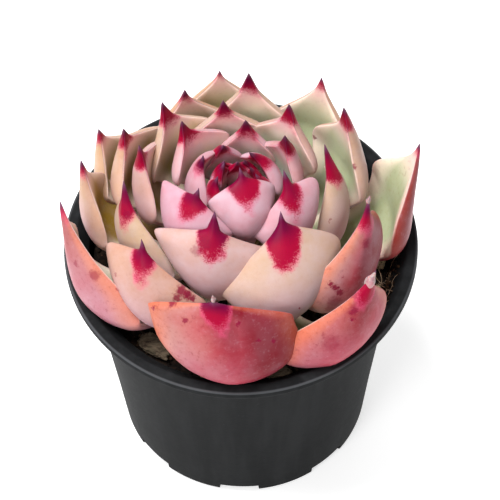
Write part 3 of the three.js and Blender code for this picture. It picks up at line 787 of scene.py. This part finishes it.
def leaf_values(leaf, number):
    """The tree's inputs for one leaf of the schedule."""
    young = 1 - leaf["age"]
    root_height = leaf.get("root_height", -5 + young * 18)
    share = min(max((root_height + 9) / 19, 0), 1)
    stem_radius = STEM_FOOT_RADIUS + (STEM_TOP_RADIUS - STEM_FOOT_RADIUS) * share
    root_radius = leaf.get("root_radius", stem_radius + 0.5)
    sizes = (root_radius, root_height, *leaf["belly"], *leaf["tip"])
    return {
        "Stations": STATIONS, "Face Points": FACE_POINTS, "Thickness": 3 + 3.4 * leaf["age"],
        "Unevenness": 1.1 * leaf["age"], "Seed": 3.7 * number,
        **{word: float(leaf[word.lower()]) for word in LEAF_WORDS},
        **{label: float(size) for label, size in zip(LEAF_SIZES, sizes)},
    }


def write_words(mesh, words):
    """Puts each word's value on all points of the mesh."""
    for word, value in words.items():
        mesh.attributes.new(word, "FLOAT", "POINT").data.foreach_set("value", [value] * len(mesh.vertices))


def write_skin(mesh, leaf):
    """Puts the leaf's skin words on its points."""
    write_words(mesh, {word: leaf[word] for word in SKIN_WORDS})
    write_words(mesh, {"bloom": 0.5 * (1 - leaf["age"]) + 0.06})


blades = []
for number, leaf in enumerate(LEAVES, 1):
    blade = bake(blade_tree, f"blade_{number:02d}", leaf_values(leaf, number))
    write_skin(blade.data, leaf)
    blades.append(blade)
print("blades:", len(blades), "points each:", len(blades[0].data.vertices),
      "least volume in mm3:", round(min(signed_volume(b.data) for b in blades) / MM**3))

# %% [markdown]
# ## The heart
# In the middle of the rosette the youngest leaves are still folded round each other, tiny and almost
# wholly crimson. The same tree grows them small and close, and a core closes the gap between them.

# %% Grow the heart
HEART_USUAL = dict(age=0.1, swing=0, lean=6, roll=0, cup=42, square=1.25, spike=3, shoulder=10,
                   root_radius=2.5, root_height=13, sun=0.0, pink=1.0, olive=0, mark=8, ruddy=0)
HEART_RISE = 10.3
HEART_LEAVES = [
    dict(bearing=160, tip=(4.5, 40), belly=(6, 26), width=8),
    dict(bearing=95, tip=(3.5, 38), belly=(6, 26), width=9),
    dict(bearing=-165, tip=(6.5, 38), belly=(8, 26), width=12),
    dict(bearing=30, tip=(4, 37), belly=(6, 26), width=9),
    dict(bearing=132, tip=(6.2, 37), belly=(8, 26), width=11),
    dict(bearing=-5, tip=(5, 37), belly=(8, 25), width=10),
    dict(bearing=72, tip=(6, 35.5), belly=(8, 25), width=10),
]


def polar(radius, angle, height):
    """A point in metres, from a radius and a height in mm."""
    return radius * cos(angle) * MM, radius * sin(angle) * MM, height * MM


def lathe(name, profile, columns):
    """A profile of (radius, height) in mm, from the axis back to the axis, turned into a closed mesh."""
    inner = profile[1:-1]
    rows = len(inner)
    points = [polar(radius, angle, height) for angle in columns for radius, height in inner]
    first = len(points)
    points += [polar(0, 0, profile[0][1]), polar(0, 0, profile[-1][1])]
    faces = []
    for k in range(len(columns)):
        here, there = k * rows, (k + 1) % len(columns) * rows
        faces += [(here + i, there + i, there + i + 1, here + i + 1) for i in range(rows - 1)]
        faces += [(first, there, here), (first + 1, here + rows - 1, there + rows - 1)]
    return new_mesh(name, points, faces)


def even_columns(count):
    """The angles of columns spaced evenly round a full turn."""
    return [2 * pi * k / count for k in range(count)]


heart_foot = POT_HEIGHT + HEART_RISE
core_profile = [(0, 0), (4.6, 0), (5.2, 6), (4.0, 13), (2.6, 17), (1.4, 19.6), (0, 20.6)]
core = lathe("heart_bud", [(r, heart_foot + z) for r, z in core_profile], even_columns(48))
write_words(core, dict(share=0.6, across=0.0, face=-0.5, from_point=3.0, breadth=2.0))
write_skin(core, HEART_USUAL)
core.shade_smooth()
heart_parts = [link_piece("heart_bud", core)]
for number, leaf in enumerate(HEART_LEAVES, 1):
    leaf = {**HEART_USUAL, **leaf}
    small = {**leaf_values(leaf, 40 + number), "Stations": 40, "Face Points": 18}
    sprout = bake(blade_tree, f"sprout_{number}", small)
    write_skin(sprout.data, leaf)
    heart_parts.append(sprout)
heart_bud = heart_parts[0]
with bpy.context.temp_override(active_object=heart_bud, selected_editable_objects=heart_parts):
    bpy.ops.object.join()
print("heart points:", len(heart_bud.data.vertices))

# %% [markdown]
# ## Finding the marks, and dressing the leaves
# A search tree over all the blades turns each mark's line of sight into a spot on a leaf.

# %% Place the marks and dress the leaves
points, faces = [], []
for blade in blades:
    faces += [[len(points) + i for i in p.vertices] for p in blade.data.polygons]
    points += [v.co.copy() for v in blade.data.vertices]
blade_search = BVHTree.FromPolygons(points, faces)
spots = []
for x, y, radius, strength in SKIN_MARKS:
    found = blade_search.ray_cast(*sight_line(x, y))[0]
    if found is not None:
        spots.append((found, radius, strength))
skin_material = finish(
    "leaf_skin", lambda where: leaf_skin(where, spots), Subsurface_Weight=0.1,
    Subsurface_Scale=1.2 * MM, Subsurface_Radius=(1.0, 0.42, 0.3), Specular_IOR_Level=0.12,
)
slot_names = [name for name, (_, leaves) in zip(SLOT_OF_WHORL, WHORLS) for _ in leaves]
for number, (blade, slot_name) in enumerate(zip(blades, slot_names), 1):
    settle(blade, skin_material, slot_name, f"leaf_{number:02d}")
settle(heart_bud, skin_material, "heart_leaf", "heart")
print("marks placed:", len(spots), "of", len(SKIN_MARKS))

# %% [markdown]
# ## Withered points
# Three of the front leaves have lost their point. Two dried to a pale, wrinkled stub, and the third ends
# in a smooth, blunt cap. Each is a small knotted cone set over the end of its leaf.

# %% Make the withered points
DRY_POINTS = [
    # leaf number, length in mm, radius in mm, how far back it starts in mm, depth of its wrinkles
    (1, 2.6, 0.8, 1.7, 0.12), (2, 6.1, 1.7, 5.6, 0.02), (10, 2.8, 0.75, 1.6, 0.12),
]
STUB_RINGS = 18
STUB_SIDES = 20


def leaf_ring_centres(mesh):
    """The middle of the blade at each share of its length, from its stored attributes."""
    from_point = np.array([item.value for item in mesh.attributes["from_point"].data], np.float32)
    places = np.array([vertex.co for vertex in mesh.vertices], np.float32)
    levels = np.unique(from_point.round(3))
    return [(level, places[np.abs(from_point - level) < 0.002].mean(0)) for level in levels]


def dry_point(number, length, radius, back, wrinkles):
    """A stub along the last stretch of a leaf."""
    centres = leaf_ring_centres(blades[number - 1].data)
    distances = [level for level, _ in centres]

    def middle(distance):
        return Vector([np.interp(distance, distances, [c[i] for _, c in centres]) for i in range(3)])

    foot = middle(back)
    way = (middle(0.4) - foot).normalized()
    side = way.cross(Vector((0, 0, 1))).normalized()
    other = way.cross(side)
    points = []
    for i in range(STUB_RINGS + 1):
        t = i / STUB_RINGS
        swell = sqrt(max(0.0, 1 - t**3.2)) * (0.55 + 0.45 * sin(pi * min(1, t * 1.3)))
        for angle in even_columns(STUB_SIDES):
            wave = sin(3 * angle + 4 * t + number) + 0.4 * sin(7 * angle - 6 * t)
            r = radius * max(swell, 0.02) * (1 + wrinkles * wave) * MM
            bent = side * 3 * wrinkles * radius * MM * t * t
            ring = side * cos(angle) + other * 0.8 * sin(angle)
            points.append(foot + way * length * t * MM + ring * r + bent)
    faces = tube_faces(0, STUB_RINGS, STUB_SIDES)
    mesh = new_mesh(f"dry_point_{number:02d}", points, faces, closed=True)
    mesh.shade_smooth()
    return link_piece(mesh.name, mesh)


def dry_skin(where):
    """Pale grey-pink fibres with ruddier patches."""
    fibre = speckle(where, 900, 4.0, 0.65)
    colour = mixed(fibre.ease(0.35, 0.7), paint(176, 154, 152), paint(142, 106, 112))
    colour = mixed(speckle(where, 350, 2.0).ease(0.5, 0.7) * 0.6, colour, paint(196, 120, 128))
    return {"Base Color": colour, "Normal": relief(fibre, 0.12 * MM, 0.6)}


dry_material = finish("dry_skin", dry_skin, Roughness=0.55, Subsurface_Weight=0.2, Subsurface_Scale=2 * MM)
for number, length, radius, back, wrinkles in DRY_POINTS:
    stub = dry_point(number, length, radius, back, wrinkles)
    settle(stub, dry_material, slot_names[number - 1])
print("withered points:", len(DRY_POINTS))

# %% [markdown]
# ## The pot
# The pot is injection moulded: a thin tapering wall, a short flare under a flat flange, and scalloped
# drain notches in its foot. It could be a lathed curve with the notches cut by a boolean, but a boolean
# leaves ragged faces, so the profile itself changes from column to column where a notch is.

# %% Turn the pot
POT_RIM_RADIUS = 55
POT_MOUTH_RADIUS = 51.5
POT_NECK_RADIUS = 48.3
POT_BASE_RADIUS = 40.2
POT_WALL = 1.2
POT_FLOOR = 1.6
LIP_HEIGHT = 3.2
NOTCH_BEARINGS = [radians(-94 + 45 * k) for k in range(8)]
NOTCH_HALF_ANGLE = radians(9.2)
NOTCH_STEP = 0.0015
NOTCH_HEIGHT = 2.4
NOTCH_INNER_RADIUS = 35


def rounded(points, radius, steps=4):
    """The profile with each of its corners rounded over."""
    out = [points[0]]
    for before, corner, after in zip(points, points[1:], points[2:]):
        a, b, c = Vector(before), Vector(corner), Vector(after)
        reach = min(radius, (a - b).length * 0.45, (c - b).length * 0.45)
        start, end = b + (a - b).normalized() * reach, b + (c - b).normalized() * reach
        for k in range(steps + 1):
            t = k / steps
            out.append(tuple(start * (1 - t) ** 2 + b * 2 * t * (1 - t) + end * t * t))
    return out + [points[-1]]


def pot_profile(foot_rise):
    """The pot's section, with its foot lifted where there is a notch."""
    top = POT_HEIGHT
    outside = [(NOTCH_INNER_RADIUS + 0.2, foot_rise), (POT_BASE_RADIUS - 0.9, foot_rise),
               (POT_BASE_RADIUS + 0.08 * foot_rise, foot_rise + 0.9), (POT_BASE_RADIUS + 2, 22),
               (POT_NECK_RADIUS, top - 6.2), (POT_NECK_RADIUS + 2, top - LIP_HEIGHT),
               (POT_RIM_RADIUS - 1.0, top - LIP_HEIGHT), (POT_RIM_RADIUS, top - LIP_HEIGHT + 0.5),
               (POT_RIM_RADIUS, top), (POT_MOUTH_RADIUS, top),
               (POT_NECK_RADIUS - POT_WALL + 0.3, top - 4.8), (POT_NECK_RADIUS - POT_WALL - 0.1, top - 8),
               (POT_BASE_RADIUS - POT_WALL + 0.1, POT_FLOOR + 0.8 + foot_rise * 0.55), (6, POT_FLOOR)]
    smooth = rounded(outside, 0.6)
    return [(0, 0), (NOTCH_INNER_RADIUS, 0)] + smooth + [(0, POT_FLOOR)]


def in_notch(angle):
    """Whether a column of the pot is over a drain notch."""
    turns = [(angle - bearing + pi) % (2 * pi) - pi for bearing in NOTCH_BEARINGS]
    return min(abs(turn) for turn in turns) < NOTCH_HALF_ANGLE


pot_columns = even_columns(288)
for bearing in NOTCH_BEARINGS:
    for edge in (bearing - NOTCH_HALF_ANGLE, bearing + NOTCH_HALF_ANGLE):
        pot_columns += [(edge - NOTCH_STEP) % (2 * pi), (edge + NOTCH_STEP) % (2 * pi)]
pot_columns = sorted(set(round(a, 6) for a in pot_columns))
pot_mesh = lathe("nursery_pot", pot_profile(0), pot_columns)
notched = pot_profile(NOTCH_HEIGHT)[1:-1]
rows = len(notched)
for k, angle in enumerate(pot_columns):
    if in_notch(angle):
        for i, (radius, height) in enumerate(notched):
            pot_mesh.vertices[k * rows + i].co = polar(radius, angle, height)
pot_mesh.update()
print("pot columns:", len(pot_columns), "faces:", len(pot_mesh.polygons))

# %% [markdown]
# ## Moulded plastic
# The plastic is nearly black polypropylene with a semi-matt skin: broad soft highlights, faint upright
# streaks where the melt flowed, a film of dust, and a patchy painted highlight along the lip and rim.

# %% Finish the pot


def moulded_plastic(where):
    """Near-black plastic with flow streaks and dust, a patchy painted highlight on its lip and a painted
    highlight line on its rim.
    """
    across = add(where.tree, "ShaderNodeSeparateXYZ", {0: where})
    along, height = across.beside("Y"), across.beside("Z")
    radius = (across * across + along * along) ** 0.5
    stretched = add(where.tree, "ShaderNodeMapping", {"Vector": where, "Scale": (1, 1, 0.06)})
    streaks = speckle(stretched, 130, 3.0, 0.6)
    dust = speckle(where, 420, 4.0, 0.65)
    colour = mixed(streaks.ease(0.35, 0.7), paint(27, 28, 29), paint(36, 37, 38))
    colour = mixed(dust.ease(0.62, 0.82) * 0.16, colour, paint(84, 85, 88))
    # Painted highlight: the lip and flange are painted paler in patches, for the light that the lip catches.
    patchy_lip_highlight = speckle(where, 260, 3.0).ease(0.4, 0.75) * 0.12
    rim = height.ease((POT_HEIGHT - LIP_HEIGHT - 0.2) * MM, (POT_HEIGHT - LIP_HEIGHT + 0.8) * MM)
    colour = mixed(rim * patchy_lip_highlight, colour, paint(66, 68, 72))
    # Painted highlight: a pale line is painted along the rim's outer top edge, where it catches the light.
    edge = radius.ease((POT_RIM_RADIUS - 0.9) * MM, (POT_RIM_RADIUS - 0.3) * MM)
    edge = edge * height.ease((POT_HEIGHT - 0.7) * MM, (POT_HEIGHT - 0.2) * MM)
    return {
        "Base Color": mixed(edge * 0.35, colour, paint(112, 114, 118)),
        "Roughness": streaks * 0.1 + dust * 0.12 + 0.44,
        "Normal": relief(speckle(where, 1800, 2.0), 0.08 * MM, 0.5),
    }


pot_mesh.shade_smooth()
pot_mesh.set_sharp_from_angle(angle=radians(50))
pot_finish = finish("moulded_plastic", moulded_plastic, Specular_IOR_Level=0.02)
settle(link_piece("nursery_pot", pot_mesh), pot_finish, "pot_plastic", "pot")
print("pot volume in mm3:", round(signed_volume(pot_mesh) / MM**3))

# %% [markdown]
# ## Potting mix
# The mix is peat, composted bark and a little grit, nearly black between the leaves. Its body is a
# lathed plug whose top is thrown into lumps. Crumbs that lie on it are scattered by a tree: points on
# the top, each with one of a few crumbs turned and sized at random.

# %% Lay the mix
SOIL_DROP = 9
SOIL_LEVEL = POT_HEIGHT - SOIL_DROP
SOIL_HOLE = STEM_FOOT_RADIUS + 0.35
SOIL_EDGE = 46.55
SOIL_DEPTH = 14


def soil_top(x, y):
    """Height of the lumpy top of the mix, in mm."""
    lumps = sin(x * 0.55 + 1.3) * cos(y * 0.48 - 0.4)
    lumps += 0.6 * sin(x * 1.1 - y * 0.9 + 0.8) + 0.4 * cos(x * 1.9 + y * 1.6)
    return SOIL_LEVEL + 0.35 * lumps


soil_rings = [SOIL_EDGE - 0.4 + (SOIL_HOLE - SOIL_EDGE + 0.4) * i / 44 for i in range(45)]
soil_profile = [(0, 1.95), (37, 1.95), (38.2, 5), (SOIL_EDGE, SOIL_LEVEL - 1.5)]
soil_profile += [(r, SOIL_LEVEL) for r in soil_rings]
soil_profile += [(SOIL_HOLE, SOIL_LEVEL - SOIL_DEPTH), (0, SOIL_LEVEL - SOIL_DEPTH)]
soil_mesh = lathe("mix_body", soil_profile, even_columns(200))
top_points = []
for vertex in soil_mesh.vertices:
    if abs(vertex.co.z - SOIL_LEVEL * MM) < 1e-5:
        x, y = vertex.co.x / MM, vertex.co.y / MM
        rough = noise.fractal(Vector((x, y, 0)) * 0.45, 0.8, 2.1, 4) * 0.55
        vertex.co.z = (soil_top(x, y) + rough - 0.15) * MM
        top_points.append(vertex.index)
soil_mesh.shade_smooth()
print("mix points:", len(soil_mesh.vertices), "on top:", len(top_points))

# %% The tree that scatters crumbs
CRUMB_INPUTS = {
    "Ground": "Geometry", "Seed": "Int",
    **dict.fromkeys(["Density", "Smallest", "Largest", "Sink"], "Float"),
}
JAGGEDNESS = 0.7
CRUMB_KINDS = 4
FULL_TURN = 6.28


def crumb_tree():
    """Scatters knobbly crumbs of a few kinds over the ground, turned and sized at random."""
    tree, size, exit_node = new_tree("crumbs", CRUMB_INPUTS)

    def chance(seed, low, high, data_type="FLOAT"):
        return add(tree, "FunctionNodeRandomValue", {"Min": low, "Max": high, "Seed": seed}, out="Value",
                   data_type=data_type)

    points = size["Ground"].then("DistributePointsOnFaces", {"Density": size["Density"], "Seed": size["Seed"]})
    kinds = tree.nodes.new("GeometryNodeGeometryToInstance")
    position = add(tree, "GeometryNodeInputPosition")
    for kind in range(CRUMB_KINDS):
        ball = add(tree, "GeometryNodeMeshIcoSphere", {"Radius": 0.5, "Subdivisions": 2})
        lumps = add(tree, "ShaderNodeTexNoise", {"Vector": position, "W": 2.3 * kind + 1, "Scale": 2.2},
                    out="Color", noise_dimensions="4D")
        crumb = ball.then("SetPosition", {"Offset": shaken(lumps, JAGGEDNESS)})
        tree.links.new(crumb.socket, kinds.inputs[0])
    turn = chance(5, (0, 0, 0), (FULL_TURN, FULL_TURN, FULL_TURN), "FLOAT_VECTOR")
    stretch = chance(9, (0.7, 0.55, 0.5), (1.6, 1.1, 0.9), "FLOAT_VECTOR")
    across = size["Smallest"] + (size["Largest"] - size["Smallest"]) * chance(11, 0.0, 1.0) ** 3.0
    lowered = points.then("SetPosition", {"Offset": spot(0, 0, across * size["Sink"])})
    placed = lowered.then("InstanceOnPoints", {
        "Instance": Wire(tree, kinds.outputs[0]), "Pick Instance": True,
        "Instance Index": chance(7, 0, CRUMB_KINDS - 1, "INT"),
        "Rotation": add(tree, "FunctionNodeEulerToRotation", {0: turn}), "Scale": stretch.scaled(across),
    })
    tone = {"Name": "tone", "Value": chance(13, 0.0, 1.0)}
    toned = placed.then("StoreNamedAttribute", tone, data_type="FLOAT", domain="INSTANCE")
    plug(exit_node.inputs[0], toned.then("RealizeInstances"))
    return tree


crumbs = crumb_tree()
print("crumb tree has", len(crumbs.nodes), "nodes")

# %% [markdown]
# ## Peat, and what lies on it
# Peat is nearly black, and each crumb has its own tone. A few in a hundred are pale grit or bark dust.

# %% Finish and scatter the mix


def peat(where):
    """Nearly black clods."""
    clod = speckle(where, 600, 4.0, 0.65)
    colour = mixed(clod.ease(0.35, 0.7), paint(16, 12, 10), paint(46, 34, 26))
    return {"Base Color": colour, "Normal": relief(clod, 0.8 * MM, 0.9)}


def toned_peat(where):
    """Peat with a tone of its own for each crumb."""
    made = peat(where)
    tone = attribute(where.tree, "tone")
    colour = mixed(tone.ease(0.5, 0.95), made["Base Color"], paint(84, 62, 44))
    return {**made, "Base Color": mixed(tone.ease(0.945, 0.965), colour, paint(160, 130, 98))}


def part_of_mesh(mesh, keep, name):
    """A copy of the faces whose points are all in keep."""
    wanted = set(keep)
    faces = [tuple(p.vertices) for p in mesh.polygons if wanted.issuperset(p.vertices)]
    used = sorted({i for face in faces for i in face})
    index = {old: new for new, old in enumerate(used)}
    return new_mesh(name, [mesh.vertices[i].co for i in used], [tuple(index[i] for i in f) for f in faces])


def scatter(name, ground, **values):
    """Bakes the crumb tree on a ground mesh and lets the result ride on the body."""
    crumb_piece = bake(crumbs, name, {word.title(): value for word, value in values.items()}, ground)
    settle(crumb_piece, crumb_finish, "potting_mix")
    print(name, "faces:", len(crumb_piece.data.polygons))


damp = dict(Roughness=0.95, Specular_IOR_Level=0.15)
settle(link_piece("mix_body", soil_mesh), finish("peat", peat, **damp), "potting_mix", "soil")
crumb_finish = finish("peat_crumb", toned_peat, **damp)
mix_top = part_of_mesh(soil_mesh, top_points, "mix_top")
scatter("mix_crumbs", mix_top, density=260000.0, smallest=0.7 * MM, largest=3.0 * MM, sink=0.05, seed=3)

# %% [markdown]
# ## Bark chips and pumice
# A few larger bits lie on the mix: flakes of bark, weathered or bleached, and pale pumice. Each keeps the
# place and size of its CAD solid, which it replaces, but is a finer lump: a ball pushed towards a flat
# flake and broken up with noise.

# %% Make the bits
PALE_CHIP = 2


def lump(node, name, squareness, roughness, seed):
    """A rough lump that fills the box of a CAD node."""
    low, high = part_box(node)
    centre, half = (low + high) / 2, (high - low) / 2
    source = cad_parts[node].data
    points = np.array([v.co for v in source.vertices]) - np.array(centre)
    axes = np.linalg.eigh(np.cov(points[:, :2].T))[1]
    long_way = Vector((axes[0, 1], axes[1, 1], 0)).normalized()
    short_way = Vector((-long_way.y, long_way.x, 0))
    long_half = max(abs(Vector(p).dot(long_way)) for p in points)
    short_half = max(abs(Vector(p).dot(short_way)) for p in points)
    work = bmesh.new()
    bmesh.ops.create_icosphere(work, subdivisions=5, radius=1)
    for vertex in work.verts:
        p = vertex.co.copy()
        boxed = Vector([copysign(abs(c) ** squareness, c) for c in p])
        shake = 1 + roughness * noise.fractal(p * 1.7 + Vector((seed, 0, 0)), 0.8, 2.1, 5)
        strata = 1 + 0.5 * roughness * sin(boxed.z * 9 + 2 * noise.noise(p * 2))
        boxed = boxed * shake
        vertex.co = centre + long_way * boxed.x * long_half * 0.9 * strata
        vertex.co += short_way * boxed.y * short_half * 0.9
        vertex.co.z = centre.z + max(boxed.z, -0.95) * half.z * 0.95
    ball = bpy.data.meshes.new(name)
    work.to_mesh(ball)
    work.free()
    ball.shade_smooth()
    return link_piece(name, ball)


def bark(where):
    """Weathered grain that runs along the chip, with greener patches."""
    along = add(where.tree, "ShaderNodeMapping", {"Vector": where, "Scale": (0.35, 1.0, 2.2),
                                                  "Rotation": (0, 0, radians(38))})
    grain = speckle(along, 700, 5.0, 0.7)
    colour = mixed(grain.ease(0.3, 0.65), paint(46, 34, 26), paint(112, 98, 80))
    colour = mixed(speckle(where, 240, 3.0).ease(0.5, 0.75) * 0.7, colour, paint(70, 66, 50))
    return {"Base Color": colour, "Normal": relief(grain, 0.6 * MM, 0.9)}


def pumice(where):
    """Pale froth with darker pores."""
    pores = add(where.tree, "ShaderNodeTexVoronoi", {"Vector": where, "Scale": 1900.0}, out="Distance")
    colour = mixed(pores.ease(0.1, 0.5), paint(120, 96, 66), paint(214, 188, 150))
    return {"Base Color": colour, "Normal": relief(pores, 0.5 * MM, 0.9)}


bark_finish = finish("bark", bark, Roughness=0.85, Specular_IOR_Level=0.25)
pumice_finish = finish("pumice", pumice, Roughness=0.95)
for k in (1, 2, 3):
    chip, grit = f"bark_chip_{k}", f"pumice_{k}"
    chip_finish = pumice_finish if k == PALE_CHIP else bark_finish
    settle(lump(chip, f"bark_flake_{k}", 0.6, 0.22, 3.1 * k), chip_finish, "bark", chip)
    settle(lump(grit, f"pumice_bit_{k}", 0.8, 0.3, 7.3 * k), pumice_finish, "pumice", grit)
print("bits: 3 of bark, 3 of pumice")

# %% [markdown]
# ## Spilled mix and loose roots
# At the right, where the leaves leave the pot's edge in view, mix has washed up the inner flare and
# dry hair roots stick out of it. The crumb tree grows the spill on a strip laid over the flare. A root
# could be a curve object with a bevel, but a tube swept along a wandering line is just as short and
# closes at both ends: it starts in the mix, strays a little at every step and sinks back.

# %% Make the spill and the loose roots
SPILL_BEARINGS = (-27, 12)
SPILL_RADII = (45.6, 46.8, 47.6, 48.8, 49.8)
ROOT_COUNT = 34
ROOT_STEPS = 22
ROOT_SIDES = 6


def ground_height(radius):
    """Height in mm of the mix, or of the pot's inner flare that rises from it."""
    heights = [SOIL_LEVEL, POT_HEIGHT - 5, POT_HEIGHT]
    return float(np.interp(radius, [SOIL_EDGE, POT_NECK_RADIUS - 1, POT_MOUTH_RADIUS], heights))


def spill_strip(steps=24):
    """A strip over the edge of the mix and the flare, to scatter on."""
    rows = len(SPILL_RADII)
    first, last = SPILL_BEARINGS
    points = []
    for i in range(steps + 1):
        bearing = radians(first + (last - first) * i / steps)
        for r in SPILL_RADII:
            points.append(Vector((r * cos(bearing), r * sin(bearing), ground_height(r))) * MM)
    corners = [i * rows + k for i in range(steps) for k in range(rows - 1)]
    return new_mesh("spill_strip", points, [(a, a + 1, a + 1 + rows, a + rows) for a in corners])


def hair_root(chance):
    """The points of one wandering tube, ring by ring."""
    bearing = radians(chance.uniform(*SPILL_BEARINGS))
    reach = chance.uniform(42.5, 49)
    place = Vector((reach * cos(bearing), reach * sin(bearing), 0))
    heading = chance.uniform(0, 2 * pi)
    step = chance.uniform(0.22, 0.5)
    arch = chance.uniform(0.6, 2.6)
    thick = chance.uniform(0.07, 0.16)
    points = []
    for i in range(ROOT_STEPS + 1):
        t = i / ROOT_STEPS
        heading += chance.uniform(-0.5, 0.5)
        place += Vector((cos(heading), sin(heading), 0)) * step
        if place.length > SPILL_RADII[-1]:
            heading += 1.2
            place = place.normalized() * SPILL_RADII[-1]
        height = ground_height(place.length) + 0.1 + arch * sin(pi * t)
        side = Vector((-sin(heading), cos(heading), 0))
        r = thick * (1 - 0.6 * t)
        for angle in even_columns(ROOT_SIDES):
            out = side * r * cos(angle) + Vector((0, 0, r * sin(angle) + height))
            points.append((place + out) * MM)
    return points


def dry_root(where):
    """Straw-coloured fibre with browner stretches."""
    tone = speckle(where, 500, 3.0).ease(0.3, 0.7)
    return {"Base Color": mixed(tone, paint(196, 168, 140), paint(120, 92, 70))}


scatter("spilled_mix", spill_strip(), density=800000.0, smallest=0.4 * MM, largest=2.2 * MM, sink=0.15, seed=8)
root_points, root_faces = [], []
chance = random.Random(12)
for _ in range(ROOT_COUNT):
    root_faces += tube_faces(len(root_points), ROOT_STEPS, ROOT_SIDES)
    root_points += hair_root(chance)
root_mesh = new_mesh("hair_roots", root_points, root_faces, closed=True)
root_finish = finish("dry_root", dry_root, Roughness=0.8, Specular_IOR_Level=0.2)
settle(link_piece("hair_roots", root_mesh), root_finish, "potting_mix")
print("hair roots:", ROOT_COUNT, "faces:", len(root_faces))

# %% [markdown]
# ## The stem
# The stem is hidden by the leaves from every side. Its CAD solid has the right shape and stays, with a
# corky finish.

# %% Finish the stem


def cork(where):
    """Rings of pale and dark cork, one above the other."""
    wave = {"Vector": where, "Scale": 90.0, "Distortion": 4.0, "Detail": 3.0}
    rings = add(where.tree, "ShaderNodeTexWave", wave, out="Fac", bands_direction="Z")
    colour = mixed(rings, paint(96, 82, 52), paint(150, 134, 92))
    return {"Base Color": colour, "Normal": relief(rings, 0.4 * MM, 0.8)}


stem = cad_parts["stem"]
stem.data.materials.clear()
stem.data.materials.append(finish("cork", cork, Roughness=0.85))
print("stem dressed")
